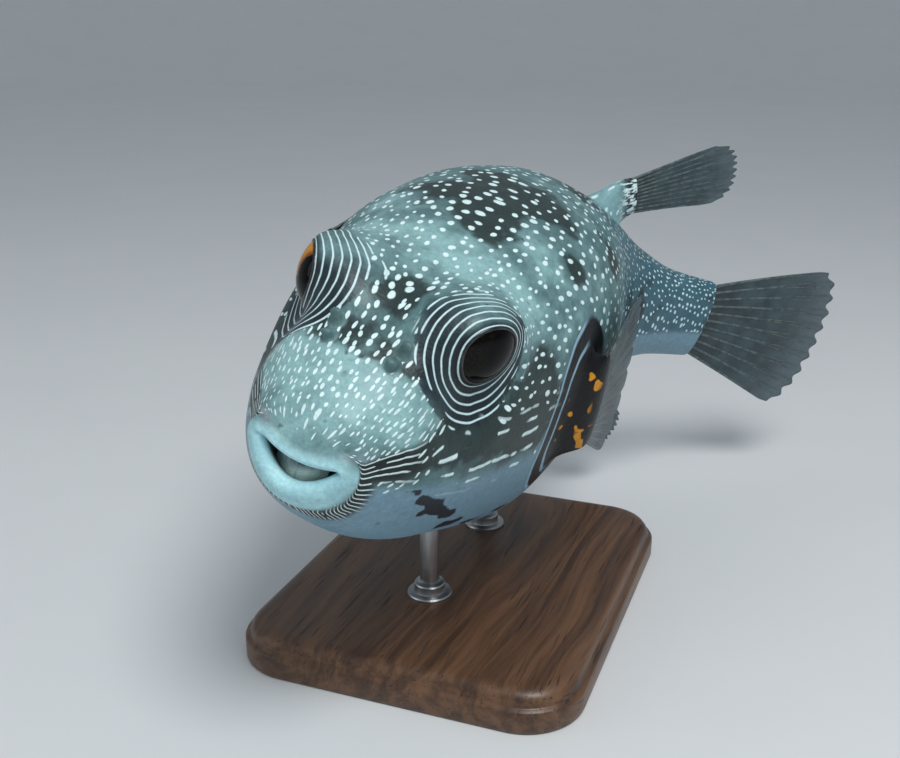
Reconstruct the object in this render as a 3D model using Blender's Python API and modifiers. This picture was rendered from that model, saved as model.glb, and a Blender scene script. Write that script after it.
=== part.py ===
"""White-spotted pufferfish: a still, life-size model of the whole animal on a plain display stand.

The fish is shaped upright in its own frame, with the tip of the snout at the origin, the tail towards
+Y, its left side towards +X and its back up. An empty then banks it to its left and lifts it onto the
two rods. Units are metres, +Z is up, and the world origin is the centre of the stand's underside.
"""

import math

import bmesh
import bpy
import numpy as np
from mathutils import Matrix, Vector

GAP = 0.0003                       # clearance between touching pieces

# Pose
BANK = math.radians(19.4)          # roll to the fish's left about its long axis
TAIL_CURL = math.radians(45.8)     # heading of the tail, turned to the fish's left
CURL_START = 0.109
CURL_LENGTH = 0.100
NOSE_PLACE = (-0.002, -0.106, 0.090)   # tip of the snout in the world

# Body: distance from the snout, height of the back and depth of the belly from the spine, half width
BODY_SECTIONS = (
    (0.004, 0.0111, 0.0128, 0.0137),
    (0.010, 0.0158, 0.0182, 0.0172),
    (0.020, 0.0234, 0.0265, 0.0234),
    (0.035, 0.0320, 0.0349, 0.0299),
    (0.050, 0.0380, 0.0406, 0.0346),
    (0.070, 0.0438, 0.0484, 0.0396),
    (0.090, 0.0475, 0.0544, 0.0434),
    (0.115, 0.0485, 0.0550, 0.0442),
    (0.140, 0.0472, 0.0525, 0.0410),
    (0.160, 0.0428, 0.0451, 0.0342),
    (0.180, 0.0350, 0.0337, 0.0249),
    (0.200, 0.0250, 0.0215, 0.0155),
    (0.220, 0.0185, 0.0155, 0.0092),
    (0.240, 0.0168, 0.0145, 0.0052),
)
SQUARENESS = 2.35                  # exponent of the superelliptic body section
HEAD_END = 0.072
TRUNK_END = 0.172
TAIL_END = 0.238
SNOUT_STATIONS = (0.0055, 0.0085, 0.0125, 0.0170)
BROW_STATIONS = (0.0215, 0.0595)   # between these the sections are close together
CHEEK_STATION = 0.0655
HEAD_PACE = 0.0038
TRUNK_PACE = 0.0072
TAIL_PACE = 0.0066
RING_POINTS = 40
EYE_TURN = 0.75                    # angle from the middle of the back where a section has most points
EYE_TURN_WIDTH = 0.38

# Mouth, seen from the front: a lens between two parabolas with its corners level
MOUTH_HALF_WIDTH = 0.0094
MOUTH_CORNER_HEIGHT = 0.0013
UPPER_LIP_DROP = 0.0015            # how far the middle of the upper edge lies below the corners
LOWER_LIP_DROP = 0.0058
CORNER_OPENING = 0.00025
UPPER_LIP_THICKNESS = 0.0036
LOWER_LIP_THICKNESS = 0.0062
CORNER_LIP_THICKNESS = 0.0041
CORNER_SETBACK = 0.0018            # how far the corners lie behind the tip of the snout
MIDDLE_SETBACK = 0.0004
CORNER_TURN = 0.50                 # how far from its corner, round the mouth, the lips begin to turn
CORNER_FOLLOW = 0.65               # share of that turn which the lips' thickness follows
LIP_CORNER_GAP = 0.06              # angle between a lip's end and the corner
# Pocket of the mouth: depth, half width and half height of its sections
POCKET_SECTIONS = ((0.0130, 0.0015, 0.0010), (0.0110, 0.0060, 0.0040), (0.0070, 0.0090, 0.0056))
BEAK_HALF_WIDTH = 0.0068
BEAK_THICKNESS = 0.0015
BEAK_PLACE = 0.0034                # how far its middle lies behind the tip of the snout
BEAK_BOW = 0.0026                  # how much further back its ends lie
BEAK_BEVEL = 0.0004
BEAK_NOTCH = 0.0005
BEAK_WEAR = 0.0008
UPPER_BEAK = (0.0045, -0.0002)     # height of its root and of its edge
LOWER_BEAK = (-0.0080, -0.0030)

# Eyes: each ball is flattened along the axis of its opening and sits in a broad mound of flesh
EYE_OPENING = (0.0246, 0.0367, 0.0284)   # middle of the left eye's opening
EYE_AXIS = (0.860, -0.500, 0.100)
OPENING_RADIUS = 0.0080
EYE_RADIUS = 0.0095
EYE_HALF_DEPTH = 0.0062
MOUND_RADII = (0.0110, 0.0150, 0.0107)   # along the axis, along the body, up
MOUND_PLACE = (-0.0057, 0.0015, 0.0)     # its middle from the middle of the ball, in the same directions
MOUND_BLEND = 0.0090
MOUND_STATIONS = (0.012, 0.075)
LID_MIDDLE = (0.0, -0.0006)              # of the lid's edge: back and up from the axis
LID_RADII = (0.0080, 0.0066, 0.0084)     # of the lid's edge: to the sides, up and down
LID_RISE = 0.45                          # slope at which the flesh rises from the lid's edge
LID_DIP = -0.0015
LID_SOFTNESS = 0.0010
LID_FADE = (1.9, 1.15)                   # where the flesh is back to its own shape, in opening radii

# Nostrils: a pair of short fleshy lobes on each side
NOSTRIL_STATION = 0.0215
NOSTRIL_ANGLE = 0.30
NOSTRIL_LOBE = (0.0013, 0.0017, 0.0032)
NOSTRIL_SPREAD = 0.0016
NOSTRIL_LEAN = 0.40

# Pectoral fins: a low fleshy base on the flank and a blade that trails back beside the body
PECTORAL_STATION = 0.0880
PECTORAL_ANGLE = 1.50
PECTORAL_TILT = 0.13               # lean of the base towards the midline, at its top
PECTORAL_HALF_BASE = 0.0160
PECTORAL_RISE = 0.0042
PECTORAL_ROOT = (-0.0040, -0.0020)     # start of the base, outwards and back from the flank
PECTORAL_REACH = 0.0055
PECTORAL_NARROWING = 0.12
PECTORAL_WALL = (0.0052, 0.0015)       # half thickness of the base at its foot and at the blade
PECTORAL_LENGTH = 0.034
PECTORAL_TOE_IN = {"left": 5.0, "right": 13.0}                      # in degrees, towards the flank
PECTORAL_SPREAD = {"left": (-28.0, 34.0), "right": (-34.0, 18.0)}   # lowest and highest ray, in degrees

# Dorsal, anal and tail fins: station and height of the blade's root, its half width and its lean
DORSAL_ROOT = (0.188, 0.0435)
DORSAL_FOOT = 0.176
DORSAL_HALF_ROOT = 0.0068
DORSAL_HALF_FOOT = 0.0125
DORSAL_LEAN = math.radians(23)
DORSAL_LENGTH = 0.043
ANAL_ROOT = (0.192, -0.0360)
ANAL_FOOT = 0.181
ANAL_HALF_ROOT = 0.0064
ANAL_HALF_FOOT = 0.0115
ANAL_LEAN = math.radians(-30)
ANAL_LENGTH = 0.036
MEDIAN_SPREAD = 8.0
MEDIAN_ROOT_DEPTH = 0.006
MEDIAN_KNEE = 0.011
MEDIAN_WALL = (0.0062, 0.0016)         # half thickness of the base at its foot and at the blade
CAUDAL_LENGTH = 0.060
CAUDAL_SPREAD = 19.0
BLADE_ROOT_SHARE = 0.94
BLADE_THICKNESS = 0.0009
BLADE_RAYS = 11
BLADE_STEPS = 6

# Stand
BASE_SIZE = (0.105, 0.130, 0.012)
BASE_CORNER = 0.018
BASE_EDGE = 0.0015
ROD_RADIUS = 0.003
ROD_PLACES = (-0.022, 0.030)       # along the base
ROD_OFFSET = -0.004                # across the base

UP = np.array([0.0, 0.0, 1.0])

FLESH_GREY = (0.27, 0.34, 0.33)
FLESH_PALE = (0.62, 0.70, 0.70)
FLESH_DARK = (0.03, 0.03, 0.03)
FIN_OLIVE = (0.15, 0.15, 0.10)
TOOTH_WHITE = (0.80, 0.79, 0.70)
EYE_BLACK = (0.01, 0.01, 0.012)
OAK_BROWN = (0.10, 0.06, 0.04)
STEEL_GREY = (0.55, 0.55, 0.56)


def clear_scene():
    for obj in list(bpy.data.objects):
        bpy.data.objects.remove(obj, do_unlink=True)


def new_collection(name):
    collection = bpy.data.collections.new(name)
    bpy.context.scene.collection.children.link(collection)
    return collection


def finish(name, colour, roughness, metallic=0.0):
    """A Principled material of one colour."""
    material = bpy.data.materials.new(name)
    material.use_nodes = True
    shader = material.node_tree.nodes["Principled BSDF"]
    shader.inputs["Base Color"].default_value = (*colour, 1.0)
    shader.inputs["Roughness"].default_value = roughness
    shader.inputs["Metallic"].default_value = metallic
    return material


# ---- curves ------------------------------------------------------------------------------------------

def smooth_curve(knots, values, at):
    """Cubic curve through the values that never overshoots them (monotone Hermite)."""
    knots, values, at = (np.asarray(a, float) for a in (knots, values, at))
    steps = np.diff(knots)
    slopes = np.diff(values) / steps
    tangents = np.concatenate([slopes[:1], np.zeros(len(knots) - 2), slopes[-1:]])
    for i in range(1, len(knots) - 1):
        before, after = slopes[i - 1], slopes[i]
        if before * after > 0:
            near = 2 * steps[i] + steps[i - 1]
            far = steps[i] + 2 * steps[i - 1]
            tangents[i] = (near + far) / (near / before + far / after)
    i = np.clip(np.searchsorted(knots, at) - 1, 0, len(steps) - 1)
    t = (at - knots[i]) / steps[i]
    rise = values[i] * (1 + 2 * t) * (1 - t) ** 2 + values[i + 1] * t ** 2 * (3 - 2 * t)
    return rise + steps[i] * (tangents[i] * t * (1 - t) ** 2 - tangents[i + 1] * t ** 2 * (1 - t))


def smooth_rings(rings, steps):
    """Rings that run smoothly through the given ones, with `steps` from each to the next (Catmull-Rom)."""
    rings = np.asarray(rings)
    ends = np.concatenate([[2 * rings[0] - rings[1]], rings, [2 * rings[-1] - rings[-2]]])
    out = []
    for i in range(len(rings) - 1):
        a, b, c, d = ends[i:i + 4]
        for t in np.arange(steps) / steps:
            out.append(b + 0.5 * t * (c - a + t * (2 * a - 5 * b + 4 * c - d + t * (3 * (b - c) + d - a))))
    out.append(rings[-1])
    return out


def smoothstep(low, high, value):
    share = np.clip((value - low) / (high - low), 0, 1)
    return share * share * (3 - 2 * share)


def smooth_min(a, b, blend):
    share = np.maximum(blend - np.abs(a - b), 0) / blend
    return np.minimum(a, b) - share * share * blend / 4


def unit(vector):
    return vector / np.linalg.norm(vector, axis=-1, keepdims=True)


# ---- body --------------------------------------------------------------------------------------------

def heading(station):
    """Direction of the spine at a station, turned from +Y towards +X."""
    t = np.clip((station - CURL_START) / CURL_LENGTH, 0, 1)
    return TAIL_CURL * t * t * (3 - 2 * t)


def spine(station):
    """Point of the spine at a station, its forward-to-back direction and its direction to the left."""
    samples = np.linspace(0, station, 200)
    turns = heading(samples)
    middle = (turns[1:] + turns[:-1]) / 2
    pace = station / (len(samples) - 1)
    point = np.array([np.sin(middle).sum() * pace, np.cos(middle).sum() * pace, 0.0])
    turn = turns[-1]
    along = np.array([math.sin(turn), math.cos(turn), 0.0])
    left = np.array([math.cos(turn), -math.sin(turn), 0.0])
    return point, along, left


def body_size(station):
    knots, *columns = zip(*BODY_SECTIONS)
    return [float(smooth_curve(knots, column, station)) for column in columns]


def signed_power(value, power):
    return np.sign(value) * np.abs(value) ** power


def plain_ring(station, angles, swell=0.0):
    """Section of the body without the mounds of the eyes, grown by `swell`."""
    back, belly, half_width = body_size(station)
    point, _, left = spine(station)
    across = (half_width + swell) * signed_power(np.sin(angles), 2 / SQUARENESS)
    height = np.where(np.cos(angles) > 0, back + swell, belly + swell)
    rise = height * signed_power(np.cos(angles), 2 / SQUARENESS)
    return point + across[:, None] * left + rise[:, None] * UP


def surface_frame(station, angle):
    """Point of the plain body surface, its outward normal, and the direction back along the surface."""
    step = 0.0005
    point = plain_ring(station, np.array([angle]))[0]
    back = plain_ring(station + step, np.array([angle]))[0] - point
    around = plain_ring(station, np.array([angle + 0.01]))[0] - point
    normal = unit(np.cross(back, around))
    if normal @ (point - spine(station)[0]) < 0:
        normal = -normal
    return point, normal, unit(back)


def eye_axes(side):
    """Axis of an eye's opening, and the directions back and up in the plane of the opening."""
    axis = unit(np.array(EYE_AXIS) * (side, 1, 1))
    rise = unit(UP - (UP @ axis) * axis)
    back = unit(np.cross(rise, axis)) * side
    return axis, back, rise


def eye_centre(side):
    setback = EYE_HALF_DEPTH * math.sqrt(1 - (OPENING_RADIUS / EYE_RADIUS) ** 2)
    return np.array(EYE_OPENING) * (side, 1, 1) - setback * eye_axes(side)[0]


def in_eye(points, side):
    """Points measured from the middle of an eyeball: out along its axis, back and up."""
    return (points - eye_centre(side)) @ np.stack(eye_axes(side), axis=1)


def ellipsoid_distance(points, radii):
    scaled = np.linalg.norm(points / radii, axis=1)
    steep = np.linalg.norm(points / np.square(radii), axis=1)
    return scaled * (scaled - 1) / np.maximum(steep, 1e-9)


def mound_distance(points, side):
    return ellipsoid_distance(in_eye(points, side) - MOUND_PLACE, np.array(MOUND_RADII))


def open_eye(ring, side):
    """Brings the flesh down to the ball round an eye's opening, and under it inside."""
    placed = in_eye(ring, side)
    off = placed[:, 1:] - LID_MIDDLE
    sideways, upward, downward = LID_RADII
    flat = np.hypot(off[:, 0] / sideways, off[:, 1] / np.where(off[:, 1] > 0, upward, downward))
    gap = ellipsoid_distance(placed, np.array([EYE_HALF_DEPTH, EYE_RADIUS, EYE_RADIUS]))
    lid = np.maximum(LID_RISE * (flat - 1) * sideways, LID_DIP)
    move = (smooth_min(gap, lid, LID_SOFTNESS) - gap) * smoothstep(*LID_FADE, flat)
    placed += np.where(placed[:, 0] > 0, move, 0.0)[:, None] * unit(placed)
    return placed @ np.stack(eye_axes(side)) + eye_centre(side)


def body_ring(station, angles, swell=0.0):
    """Section of the body with the mounds of the eyes grown smoothly out of it."""
    ring = plain_ring(station, angles, swell)
    if not MOUND_STATIONS[0] < station < MOUND_STATIONS[1]:
        return ring
    start = spine(station)[0]
    reach = np.linalg.norm(ring - start, axis=1)
    ray = unit(ring - start)
    grown = reach + 0.015
    for _ in range(70):
        at = start + grown[:, None] * ray
        mounds = np.minimum(mound_distance(at, 1), mound_distance(at, -1)) - swell
        grown = grown - 0.8 * smooth_min(grown - reach, mounds, MOUND_BLEND)
    ring = start + grown[:, None] * ray
    return open_eye(open_eye(ring, 1), -1)


def ring_angles():
    """Angles of a section's points, closer together where the eyes are."""
    fine = np.linspace(0, 2 * math.pi, 2001)
    folded = math.pi - np.abs(fine - math.pi)
    density = 1 + np.exp(-((folded - EYE_TURN) / EYE_TURN_WIDTH) ** 2)
    total = np.concatenate([[0.0], np.cumsum((density[1:] + density[:-1]) / 2)])
    return np.interp(np.arange(RING_POINTS) / RING_POINTS * total[-1], total, fine)


def head_stations():
    return [*SNOUT_STATIONS, *stations_between(*BROW_STATIONS, HEAD_PACE), CHEEK_STATION]


# ---- mouth -------------------------------------------------------------------------------------------

def lip_heading(angles):
    """Direction in which the lips thicken, turned from up towards the side: square to the mouth's edge."""
    upper = np.abs(np.arctan(2 * UPPER_LIP_DROP * np.sin(angles) / MOUTH_HALF_WIDTH))
    lower = np.abs(np.arctan(2 * LOWER_LIP_DROP * np.sin(angles) / MOUTH_HALF_WIDTH))
    folded = np.abs((angles + math.pi) % (2 * math.pi) - math.pi)
    side = np.where(np.sin(angles) < 0, -1.0, 1.0)
    share = smoothstep(math.pi / 2 - CORNER_TURN, math.pi / 2 + CORNER_TURN, folded)
    square = share * (math.pi - lower) - (1 - share) * upper
    return side * ((1 - CORNER_FOLLOW) * folded + CORNER_FOLLOW * square)


def mouth_ring(angles, outward, depth):
    """Ring round the mouth: `outward` lip thicknesses from its edge, and behind the edge by a depth given
    as a share of the thickness and a plain distance."""
    cosine, sine = np.cos(angles), np.sin(angles)
    opening = cosine ** 2
    drop = np.where(cosine > 0, UPPER_LIP_DROP, LOWER_LIP_DROP) * opening
    middle = np.where(cosine > 0, UPPER_LIP_THICKNESS, LOWER_LIP_THICKNESS)
    thickness = CORNER_LIP_THICKNESS + (middle - CORNER_LIP_THICKNESS) * opening
    parting = CORNER_OPENING * signed_power(np.round(cosine, 6), 0.5)
    heading = lip_heading(angles)
    across = MOUTH_HALF_WIDTH * sine + outward * thickness * np.sin(heading)
    rise = MOUTH_CORNER_HEIGHT - drop + parting + outward * thickness * np.cos(heading)
    setback = CORNER_SETBACK - (CORNER_SETBACK - MIDDLE_SETBACK) * opening
    return np.stack([across, setback + depth[0] * thickness + depth[1], rise], axis=1)


def lip_profile(angles):
    """Rings over the lip, from its inner side over the crown to the crease behind it."""
    inner = mouth_ring(angles, 0.12, (0.0, 0.0022))
    edge = mouth_ring(angles, 0.0, (0.0, 0.0006))
    crown = mouth_ring(angles, 0.38, (-0.26, 0.0))
    brow = mouth_ring(angles, 0.80, (-0.16, 0.0))
    crease = mouth_ring(angles, 1.10, (0.16, 0.0))
    return [inner, edge, crown, brow, crease]


def pocket_ring(angles, depth, half_width, half_height):
    """Oval ring inside the mouth."""
    middle = MOUTH_CORNER_HEIGHT - 0.5 * LOWER_LIP_DROP
    points = [half_width * np.sin(angles), depth + 0 * angles, middle + half_height * np.cos(angles)]
    return np.stack(points, axis=1)


# ---- meshes ------------------------------------------------------------------------------------------

def mesh_object(name, points, faces, material, collection, parent=None):
    mesh = bpy.data.meshes.new(name)
    mesh.from_pydata([tuple(map(float, p)) for p in points], [], faces)
    body = bmesh.new()
    body.from_mesh(mesh)
    bmesh.ops.recalc_face_normals(body, faces=body.faces)
    body.to_mesh(mesh)
    body.free()
    mesh.shade_smooth()
    mesh.set_sharp_from_angle(angle=math.radians(40))
    if material:
        mesh.materials.append(material)
    obj = bpy.data.objects.new(name, mesh)
    collection.objects.link(obj)
    obj.parent = parent
    return obj


def loft_faces(ring_count, ring_size, closed_round=True):
    faces = []
    for i in range(ring_count - 1):
        for j in range(ring_size if closed_round else ring_size - 1):
            k = (j + 1) % ring_size
            row = i * ring_size
            faces.append((row + j, row + k, row + ring_size + k, row + ring_size + j))
    return faces


def loft(name, rings, material, collection, parent=None):
    """Closed solid through rings of equal size, with a point in the middle of each end."""
    size = len(rings[0])
    points = np.concatenate([*rings, [rings[0].mean(axis=0)], [rings[-1].mean(axis=0)]])
    faces = loft_faces(len(rings), size)
    first, last = len(points) - 2, len(points) - 1
    start = (len(rings) - 1) * size
    for j in range(size):
        k = (j + 1) % size
        faces.append((first, k, j))
        faces.append((last, start + j, start + k))
    return mesh_object(name, points, faces, material, collection, parent)


def stations_between(first, last, pace):
    return np.linspace(first, last, max(2, round((last - first) / pace) + 1))


def boolean(obj, other, operation="DIFFERENCE"):
    modifier = obj.modifiers.new(f"{operation.lower()}_{other.name}", "BOOLEAN")
    modifier.operation = operation
    modifier.object = other


def as_cutter(obj):
    obj.hide_render = True
    obj.display_type = "WIRE"
    return obj


def ball(name, centre, radii, turn, material, collection, parent, segments, rings):
    """Ellipsoid whose own Z axis points along `turn`'s third column."""
    mesh = bpy.data.meshes.new(name)
    body = bmesh.new()
    bmesh.ops.create_uvsphere(body, u_segments=segments, v_segments=rings, radius=1.0)
    bmesh.ops.scale(body, vec=radii, verts=body.verts)
    body.to_mesh(mesh)
    body.free()
    mesh.shade_smooth()
    if material:
        mesh.materials.append(material)
    obj = bpy.data.objects.new(name, mesh)
    collection.objects.link(obj)
    obj.parent = parent
    obj.matrix_local = Matrix.Translation(Vector(centre)) @ turn.to_4x4()
    return obj


def axes_matrix(x_axis, y_axis, z_axis):
    return Matrix(np.stack([x_axis, y_axis, z_axis], axis=1).tolist())


# ---- flesh nodes -------------------------------------------------------------------------------------

def make_head(material, parts, pose):
    angles = ring_angles()
    lip = lip_profile(angles)
    seat = np.array([0.0, GAP, 0.0])
    rings = [pocket_ring(angles, *section) for section in POCKET_SECTIONS]
    rings += [lip[0] + seat, lip[-1] + seat]
    rings += [body_ring(s, angles) for s in [*head_stations(), HEAD_END]]
    return loft("head", rings, material, parts, pose)


def make_lips(material, parts, pose):
    """Upper and lower lip: rolls that lie in the seat round the mouth, parted at its corners."""
    half = RING_POINTS // 2
    quarter = math.pi / 2 - LIP_CORNER_GAP
    for name, middle in (("upper_lip", 0.0), ("lower_lip", math.pi)):
        angles = middle + np.linspace(-quarter, quarter, half + 1)
        rolls = smooth_rings(lip_profile(angles), 2)
        sections = np.stack(rolls, axis=1)
        loft(name, list(sections), material, parts, pose)


def make_mouth_space(cutters, pose):
    """Room inside the lips and the pocket, a gap smaller all round, which trims the beak."""
    angles = ring_angles()
    inner, edge = lip_profile(angles)[:2]
    middle = np.array([0.0, 0.0, MOUTH_CORNER_HEIGHT - 0.5 * LOWER_LIP_DROP])
    shrink = np.array([0.90, 1.0, 0.86])
    front = np.array([0.0, -0.004, 0.0])
    rings = [pocket_ring(angles, depth, across - GAP, rise - GAP) for depth, across, rise in POCKET_SECTIONS[1:]]
    rings += [
        (inner - middle) * shrink + middle,
        (edge - middle) * shrink + middle,
        (edge - middle) * shrink + middle + front,
    ]
    return as_cutter(loft("mouth_space", rings, None, cutters, pose))


def make_beak(space, material, parts, pose):
    """The two tooth plates of the beak, each with a shallow notch at the midline."""
    for name, side, (root, edge) in (("upper_beak", 1, UPPER_BEAK), ("lower_beak", -1, LOWER_BEAK)):
        sections = []
        for t in np.linspace(-1, 1, 15):
            across = BEAK_HALF_WIDTH * t
            front = BEAK_PLACE + BEAK_BOW * t * t
            rear = front + BEAK_THICKNESS
            notch = BEAK_NOTCH * math.exp(-(t / 0.10) ** 2)
            tip = edge + side * (notch + BEAK_WEAR * t * t)
            section = [
                (across, front, root), (across, front, (root + tip) / 2), (across, front + BEAK_BEVEL, tip),
                (across, rear - BEAK_BEVEL, tip), (across, rear, (root + tip) / 2), (across, rear, root),
            ]
            sections.append(np.array(section))
        boolean(loft(name, sections, material, parts, pose), space, "INTERSECT")


def make_trunk(material, parts, pose):
    rings = [body_ring(s, ring_angles()) for s in stations_between(HEAD_END + GAP, TRUNK_END, TRUNK_PACE)]
    return loft("trunk", rings, material, parts, pose)


def make_tail(material, parts, pose):
    rings = [body_ring(s, ring_angles()) for s in stations_between(TRUNK_END + GAP, TAIL_END, TAIL_PACE)]
    return loft("tail", rings, material, parts, pose)


def make_clearance(cutters, pose):
    """The whole body grown by the gap, which trims whatever stands on it."""
    stations = [*head_stations(), *stations_between(HEAD_END + GAP, TRUNK_END, TRUNK_PACE)]
    stations += [*stations_between(TRUNK_END + GAP, TAIL_END, TAIL_PACE)]
    rings = [body_ring(s, ring_angles(), GAP) for s in stations]
    return as_cutter(loft("body_clearance", rings, None, cutters, pose))


def make_eyes(head, material, parts, cutters, pose):
    for side, name in ((1, "eye_left"), (-1, "eye_right")):
        axis, back, rise = eye_axes(side)
        turn = axes_matrix(back, np.cross(axis, back), axis)
        radii = np.array([EYE_RADIUS, EYE_RADIUS, EYE_HALF_DEPTH])
        ball(name, eye_centre(side), radii, turn, material, parts, pose, 18, 10)
        socket = ball(f"{name}_socket", eye_centre(side), radii + GAP, turn, None, cutters, pose, 18, 10)
        boolean(head, as_cutter(socket))


def make_nostrils(clearance, material, parts, cutters, pose):
    for side, name in ((1, "nostril_left"), (-1, "nostril_right")):
        point, normal, back = surface_frame(NOSTRIL_STATION, side * NOSTRIL_ANGLE)
        across = np.cross(normal, back)
        lobes = []
        for place in (-1, 1):
            lean = unit(normal + NOSTRIL_LEAN * place * back)
            turn = axes_matrix(across, np.cross(lean, across), lean)
            centre = point + place * NOSTRIL_SPREAD * back
            where, which = (parts, name) if place < 0 else (cutters, f"{name}_rear_lobe")
            paint = material if place < 0 else None
            lobes.append(ball(which, centre, NOSTRIL_LOBE, turn, paint, where, pose, 14, 8))
        as_cutter(lobes[1])
        boolean(lobes[0], lobes[1], "UNION")
        boolean(lobes[0], clearance)


# ---- fins --------------------------------------------------------------------------------------------

def lobe(name, path, tall_axis, half_heights, half_thicknesses, material, parts, pose):
    """Fleshy fin base: oval sections along a path, tall along `tall_axis`, flat at the outer end."""
    angles = np.arange(18) * 2 * math.pi / 18
    rings = []
    for i, point in enumerate(path):
        ahead = unit(path[min(i + 1, len(path) - 1)] - path[max(i - 1, 0)])
        tall = unit(tall_axis - (tall_axis @ ahead) * ahead)
        rise = half_heights[i] * signed_power(np.cos(angles), 0.9)
        out = half_thicknesses[i] * signed_power(np.sin(angles), 0.9)
        rings.append(point + rise[:, None] * tall + out[:, None] * np.cross(ahead, tall))
    return loft(name, rings, material, parts, pose)


def blade(name, root, root_axis, outward, bulge, half_root, spread, reach, material, parts, pose):
    """Fin blade: a fan of rays from a straight root, rounded at the margin and slightly cupped."""
    points = []
    for t in np.linspace(-1, 1, BLADE_RAYS + 1):
        turn = spread(t)
        direction = math.cos(turn) * outward + math.sin(turn) * root_axis
        start = root + t * half_root * root_axis + GAP * outward
        for step in np.linspace(0, 1, BLADE_STEPS + 1):
            cup = bulge * step * step * reach(t)
            points.append(start + step * reach(t) * direction + cup * np.cross(outward, root_axis))
    faces = loft_faces(BLADE_RAYS + 1, BLADE_STEPS + 1, closed_round=False)
    obj = mesh_object(name, points, faces, material, parts, pose)
    wall = obj.modifiers.new("wall", "SOLIDIFY")
    wall.thickness = BLADE_THICKNESS
    wall.offset = 0.0
    return obj


def rounded_reach(length, shortest, peak, roundness):
    """Ray length over the fan from t = -1 to 1: longest at `peak`, falling away to both sides."""
    def reach(t):
        share = abs(t - peak) / (1 + peak * (-1 if t > peak else 1))
        return length * (shortest + (1 - shortest) * (1 - share ** roundness) ** (1 / roundness))
    return reach


def spread_between(lowest, highest):
    """Turn of the ray at t from -1 to 1, in radians, from limits in degrees."""
    return lambda t: math.radians(lowest + (highest - lowest) * (t + 1) / 2)


def bend_through(start, knee, end, count):
    """Points of a quadratic curve, and how far along it each one is."""
    shares = np.linspace(0, 1, count)
    return [(1 - b) ** 2 * start + 2 * b * (1 - b) * knee + b * b * end for b in shares], shares


def root_of(path, tall_axis):
    """Direction in which a fleshy base ends, and the blade's root axis square to it."""
    outward = unit(path[-1] - path[-2])
    return outward, unit(tall_axis - (tall_axis @ outward) * outward)


def make_pectorals(clearance, flesh, fin, parts, pose):
    for side in (1, -1):
        word = "left" if side > 0 else "right"
        point, normal, back = surface_frame(PECTORAL_STATION, side * PECTORAL_ANGLE)
        tall = unit(np.array([-side * PECTORAL_TILT, 0.0, 1.0]))
        toe_in = math.radians(PECTORAL_TOE_IN[word])
        trailing = math.cos(toe_in) * back - math.sin(toe_in) * normal
        knee = point + PECTORAL_RISE * normal
        start = point + PECTORAL_ROOT[0] * normal + PECTORAL_ROOT[1] * back
        path, shares = bend_through(start, knee, knee + PECTORAL_REACH * trailing, 7)
        heights = PECTORAL_HALF_BASE * (1 - PECTORAL_NARROWING * shares ** 2)
        widths = PECTORAL_WALL[0] + (PECTORAL_WALL[1] - PECTORAL_WALL[0]) * shares ** 0.8
        base = lobe(f"pectoral_base_{word}", path, tall, heights, widths, flesh, parts, pose)
        boolean(base, clearance)
        outward, root_axis = root_of(path, tall)
        half_root = heights[-1] * BLADE_ROOT_SHARE
        spread = spread_between(*PECTORAL_SPREAD[word])
        reach = rounded_reach(PECTORAL_LENGTH, 0.60, 0.15, 2.2)
        blade(f"pectoral_fin_{word}", path[-1], root_axis, outward, 0.04 * side, half_root, spread, reach,
              fin, parts, pose)


def make_median_fin(name, root, foot, half_root, half_foot, lean, length, clearance, flesh, fin, parts,
                    pose):
    """Dorsal or anal fin: a fleshy base swept back from the body, with a fan-shaped blade on its end."""
    centre, along, _ = spine(root[0])
    end = centre + root[1] * UP
    outward = math.cos(lean) * along + math.sin(lean) * UP
    tall = math.cos(lean) * UP - math.sin(lean) * along
    back, belly, _ = body_size(foot)
    surface = spine(foot)[0] + (back if root[1] > 0 else -belly) * UP
    start = surface - 0.30 * (end - surface) - MEDIAN_ROOT_DEPTH * np.sign(root[1]) * UP
    path, shares = bend_through(start, end - MEDIAN_KNEE * outward, end, 7)
    heights = half_foot + (half_root - half_foot) * shares
    widths = MEDIAN_WALL[0] + (MEDIAN_WALL[1] - MEDIAN_WALL[0]) * shares ** 0.7
    base = lobe(f"{name}_fin_base", path, tall, heights, widths, flesh, parts, pose)
    boolean(base, clearance)
    outward, root_axis = root_of(path, tall)
    spread = spread_between(-MEDIAN_SPREAD, MEDIAN_SPREAD)
    peak = 0.15 * np.sign(root[1])
    blade(f"{name}_fin", path[-1], root_axis, outward, 0.04, half_root * BLADE_ROOT_SHARE, spread,
          rounded_reach(length, 0.66, peak, 2.4), fin, parts, pose)


def make_caudal(fin, parts, pose):
    point, along, _ = spine(TAIL_END)
    back, belly, _ = body_size(TAIL_END)
    root = point + (back - belly) / 2 * UP
    half_root = (back + belly) / 2 * 0.86
    blade("caudal_fin", root, UP, along, 0.10, half_root, spread_between(-CAUDAL_SPREAD, CAUDAL_SPREAD),
          rounded_reach(CAUDAL_LENGTH, 0.80, 0.0, 2.6), fin, parts, pose)


# ---- stand -------------------------------------------------------------------------------------------

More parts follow.
